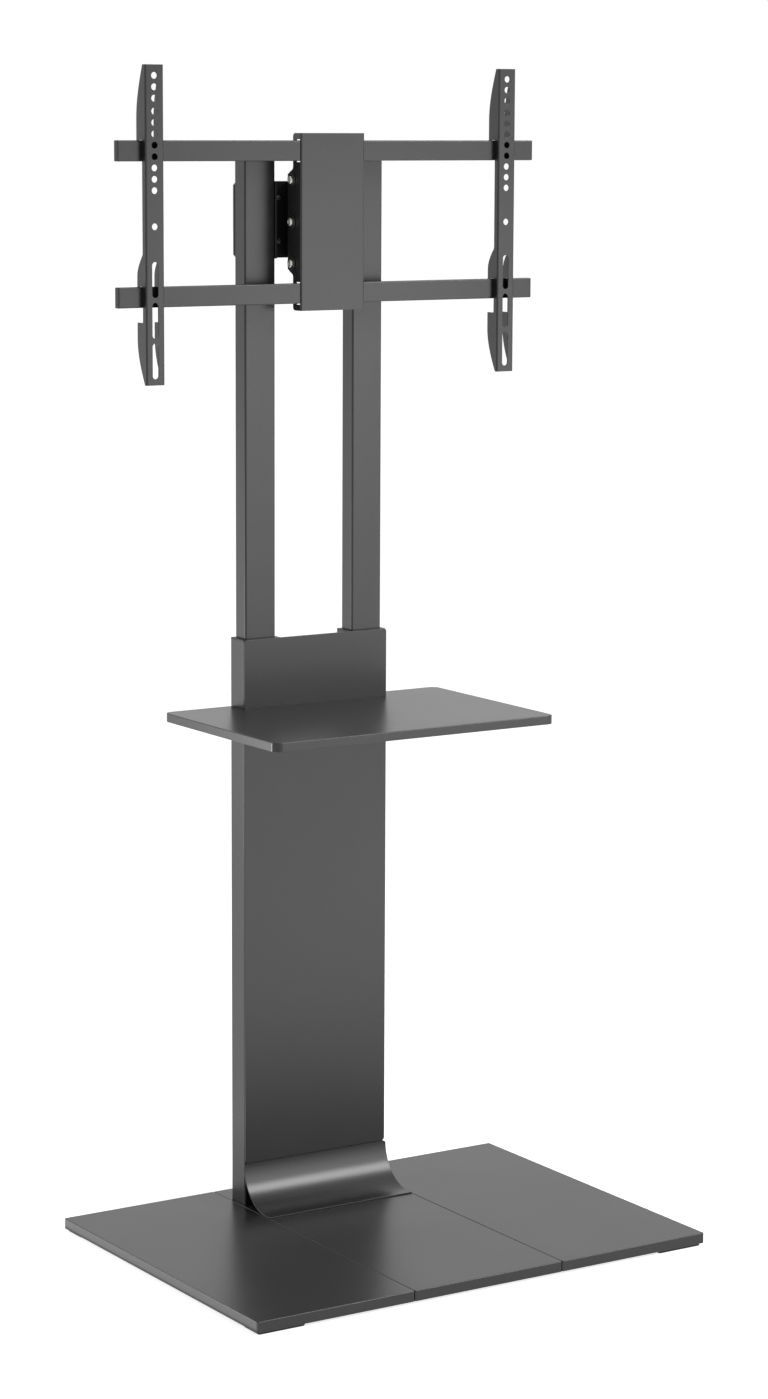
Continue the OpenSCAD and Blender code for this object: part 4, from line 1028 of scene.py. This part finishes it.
def brackets():
    """Screen brackets: a pierced front and two side flanges with hooks over both rails. The
    flanges swell from one depth to another by the sine of the way down. The profile is in
    millimetres: how far behind the front, and how far below the top."""
    thick, bend = 2 * MM, 2.3 * MM
    slim, rail_front, hook_inside, deep, foot = 8, 9.7, 20.3, 25, 5
    hook, low_hook, tip, length = 99.7, 294.7, 12, 427
    swell, low_swell, low_start = 72, 30, low_hook - 43
    fin, fin_width = low_hook + 48.3, 22
    t = np.linspace(0, math.pi / 2, 11)
    share = t / t[-1]
    profile = [*zip(slim + (deep - slim) * np.sin(t), swell * share), (deep, hook + tip),
               (hook_inside, hook + tip), (hook_inside, hook), (rail_front, hook),
               *zip(rail_front + (deep - rail_front) * np.sin(t), low_start + low_swell * share),
               (deep, low_hook + tip), (hook_inside, low_hook + tip), (hook_inside, low_hook),
               (rail_front, low_hook), (rail_front, fin), (deep, fin),
               *zip(foot + (deep - foot) * np.cos(t),
                    fin + fin_width + (length - fin_width - fin) * share)]
    first_hole, pitch, row_gap, single, hole_r = 14.5, 15, 17, 200, 4.5 * MM
    first_slot, slot_pitch, slot_half = 271, 54.5, 19.5 * MM
    drops = [*(i * pitch for i in range(3)), *((2 + i) * pitch + row_gap for i in range(8)),
             single]
    for node in ("bracket_left", "bracket_right"):
        lo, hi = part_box(node)
        half, middle = (hi.x - lo.x) / 2 - bend, (lo.x + hi.x) / 2
        run = [(depth * MM, hi.z - drop * MM) for depth, drop in profile]
        shape, borders = channel_shape(run, half, bend, radius=0.9 * MM)
        holes = [hole(0.0, hi.z - (first_hole + drop) * MM, hole_r) for drop in drops]
        for i in range(3):
            z = hi.z - (first_hole + first_slot + i * slot_pitch) * MM
            holes.append(slot_hole(0.0, z - slot_half, z + slot_half, hole_r))
        shell = Shell()
        sheet(shell, channel(middle, lo.y, half, bend), thick, [shape], holes, borders)
        finish_sheet(shell, node, COAT, "folded")


# -------------------- fixings
def screws(node, axis, sizes, material, dome=0.45, outward=False):
    """Every screw of a node, with its head at the end of its solid that the axis points to;
    outward turns the axis away from the middle for solids on the left. Sizes are the head's
    radius and height, the shank's radius and the socket's half width, in millimetres."""
    head_r, head_h, shank_r, socket = (size * MM for size in sizes)
    shell = Shell()
    for lo, hi in solids(node):
        middle, way = (lo + hi) / 2, np.asarray(axis, float)
        if outward and middle[0] < 0:
            way = -way
        length = (hi - lo)[int(np.argmax(np.abs(way)))]
        seat = middle + way * (length / 2 - head_h)
        socket_screw(shell, seat, way, shank_r, length - head_h, head_r, head_h, socket, dome)
    finish_turned(shell, node, material)


def rings_at(node, axis, maker, *sizes, material):
    """A nut or washer in each solid of a node, from its low end along the axis. Sizes are
    the outer radius, or a nut's half width, and the bore's radius, in millimetres."""
    shell = Shell()
    k = int(np.argmax(np.abs(axis)))
    for lo, hi in solids(node):
        start = (lo + hi) / 2
        start[k] = lo[k]
        maker(shell, start, axis, hi[k] - lo[k], *(size * MM for size in sizes))
    finish_turned(shell, node, material)


def fixings():
    """Screws, nuts and washers. Hidden ones, and those seen only from below, keep their CAD
    mesh."""
    x, y, z, down = (1, 0, 0), (0, 1, 0), (0, 0, 1), (0, 0, -1)
    small, medium = (4.5, 3, 2.5, 1.5), (5.5, 3.5, 3, 2)
    screws("panel_screws", y, small, ZINC_Y)
    screws("post_bolts", y, medium, ZINC_Y)
    screws("clamp_bolts", y, (6.5, 5, 4, 3), ZINC_Y, dome=0.15)
    screws("beam_bolts", y, medium, ZINC_Y)
    screws("rail_screws", y, small, ZINC_Y)
    screws("shelf_screws", down, (4.5, 2.5, 2.5, 1.5), ZINC_Z)
    screws("carrier_bolts", z, medium, ZINC_Z)
    screws("swivel_pin", z, (10, 4, 6, 4), ZINC_Z)
    screws("pivot_bolts", x, (5.5, 4, 4, 2.5), ZINC_X, outward=True)
    screws("lock_bolts", x, (5.5, 4, 3, 2.5), ZINC_X, outward=True)
    rings_at("swivel_nut", z, hex_nut, 8.6, 6, material=ZINC_Z)
    rings_at("pivot_nuts", x, hex_nut, 6.4, 4, material=ZINC_X)
    rings_at("lock_nuts", x, hex_nut, 4.9, 3, material=ZINC_X)
    rings_at("lock_washers", x, washer, 9, 3.05, material=PLASTIC)
    rings_at("pivot_washers", x, washer, 9, 4.05, material=PLASTIC)
    rings_at("swivel_washers", z, washer, 11, 6.05, material=PLASTIC)
    for node in ("base_screws", "centre_bolts", "column_bolts", "cove_screws", "clamp_nuts"):
        dress(node, ZINC_Z)


for build in (base_panels, cove, under_base, outer_tubes, posts, column_plates, shelf, carriage,
              yoke, head, rails, brackets, fixings):
    build()


# -------------------- floor and lights
ROOM = 0.3         # the white room's strength in diffuse light
FLOOR_GLOW = 0.78  # what the floor gives off where it is seen: with 0.8 of ROOM it passes 1
WHITE = (1.0, 1.0, 1.0, 1.0)


def light_path_white(g):
    """1 for rays from the camera and for rays seen in gloss or through glass."""
    path = g.node("LightPath").outputs
    return g.math("MAXIMUM", g.math("MAXIMUM", path["Is Camera Ray"], path["Is Glossy Ray"]),
                  path["Is Transmission Ray"])


def set_world():
    """A white room all round, weaker in diffuse light than to the eye and in gloss."""
    world = bpy.data.worlds.new("white_room")
    bpy.context.scene.world = world
    world.use_nodes = True
    g = Graph(world.node_tree)
    back = world.node_tree.nodes["Background"]
    g.fill(back, Color=WHITE, Strength=g.spread(light_path_white(g), 0.0, 1.0, ROOM, 1.0))


def set_floor():
    """A wide pale floor. The camera sees it lifted to white where no shadow falls."""
    half = 40.0
    mesh = bpy.data.meshes.new("floor")
    mesh.from_pydata([(-half, -half, 0), (half, -half, 0), (half, half, 0), (-half, half, 0)], [],
                     [(0, 1, 2, 3)])
    floor = bpy.data.objects.new("floor", mesh)
    bpy.context.scene.collection.objects.link(floor)
    material, g, surface = new_material("floor_paint", Roughness=0.9, Specular_IOR_Level=0.1)
    place = g.node("TexCoord").outputs["Object"]
    clouds = g.noise(place, scale=3.0, detail=3.0)
    paint = g.mix(clouds, (0.78, 0.78, 0.78, 1), (0.82, 0.82, 0.82, 1))
    g.fill(surface, Base_Color=paint, Emission_Color=WHITE,
           Emission_Strength=g.times(light_path_white(g), FLOOR_GLOW))
    mesh.materials.append(material)


def lamp(name, place, aim, size, radiance):
    """A soft box of width and height `size` at a place, turned to its aim, with an even
    radiance: its power is pi times radiance times area."""
    data = bpy.data.lights.new(name, "AREA")
    data.shape = "RECTANGLE"
    data.size, data.size_y = size
    data.energy = math.pi * radiance * size[0] * size[1]
    data.use_shadow = True
    made = bpy.data.objects.new(name, data)
    bpy.context.scene.collection.objects.link(made)
    made.location = place
    made.rotation_mode = "QUATERNION"
    made.rotation_quaternion = (Vector(aim) - Vector(place)).to_track_quat("-Z", "Y")
    made.visible_camera = False


def set_lamps():
    """Soft boxes on the right in front, low ones on the left behind for the left sides, and
    two cards on the floor that shine up at the front and at the left side. Rows hold name,
    place, aim, size and radiance."""
    for row in (("box_right_low", (1.8, -2.9, 0.5), (0, 0, 0.8), (1.2, 0.8), 1.5),
                ("box_right_slope", (1.66, -2.54, 1.2), (0, 0.1, 0.1), (1.0, 0.9), 3.3),
                ("box_right_high", (3.1, -3.1, 3.98), (0, 0.12, 0.04), (2.1, 1.9), 14.5),
                ("box_left_back", (-2.3, 2.7, 0.5), (0, 0, 0.5), (1.4, 0.8), 0.6),
                ("box_left_near", (-1.62, 1.3, 0.45), (-0.2, -0.1, 0.7), (0.5, 0.6), 12.5),
                ("card_front", (1.1, -1.5, 0.01), (1.1, -1.5, 1.0), (1.5, 1.7), 0.95),
                ("card_left", (-0.717, 0.15, 0.006), (-0.717, 0.15, 1.0), (0.7, 1.1), 0.87)):
        lamp(*row)


# -------------------- camera
def set_camera():
    """Camera fitted to the photograph: place, aim, roll and lens."""
    place, aim = Vector((-2683.2, -4172.7, 1562.5)) * MM, Vector((-4.2, -4.5, 771.9)) * MM
    roll, lens = math.radians(0.243), 93.69
    data = bpy.data.cameras.new("camera")
    data.sensor_width, data.lens = 36.0, lens
    camera = bpy.data.objects.new("camera", data)
    bpy.context.scene.collection.objects.link(camera)
    back = (place - aim).normalized()
    right = Vector((0, 0, 1)).cross(back).normalized()
    up = back.cross(right)
    side = math.cos(roll) * right + math.sin(roll) * up
    rise = -math.sin(roll) * right + math.cos(roll) * up
    camera.rotation_mode = "QUATERNION"
    camera.rotation_quaternion = Matrix((side, rise, back)).transposed().to_quaternion()
    camera.location = place
    bpy.context.scene.camera = camera


set_world()
set_floor()
set_lamps()
set_camera()
bpy.context.scene.view_settings.view_transform = "Standard"

bpy.context.view_layer.update()
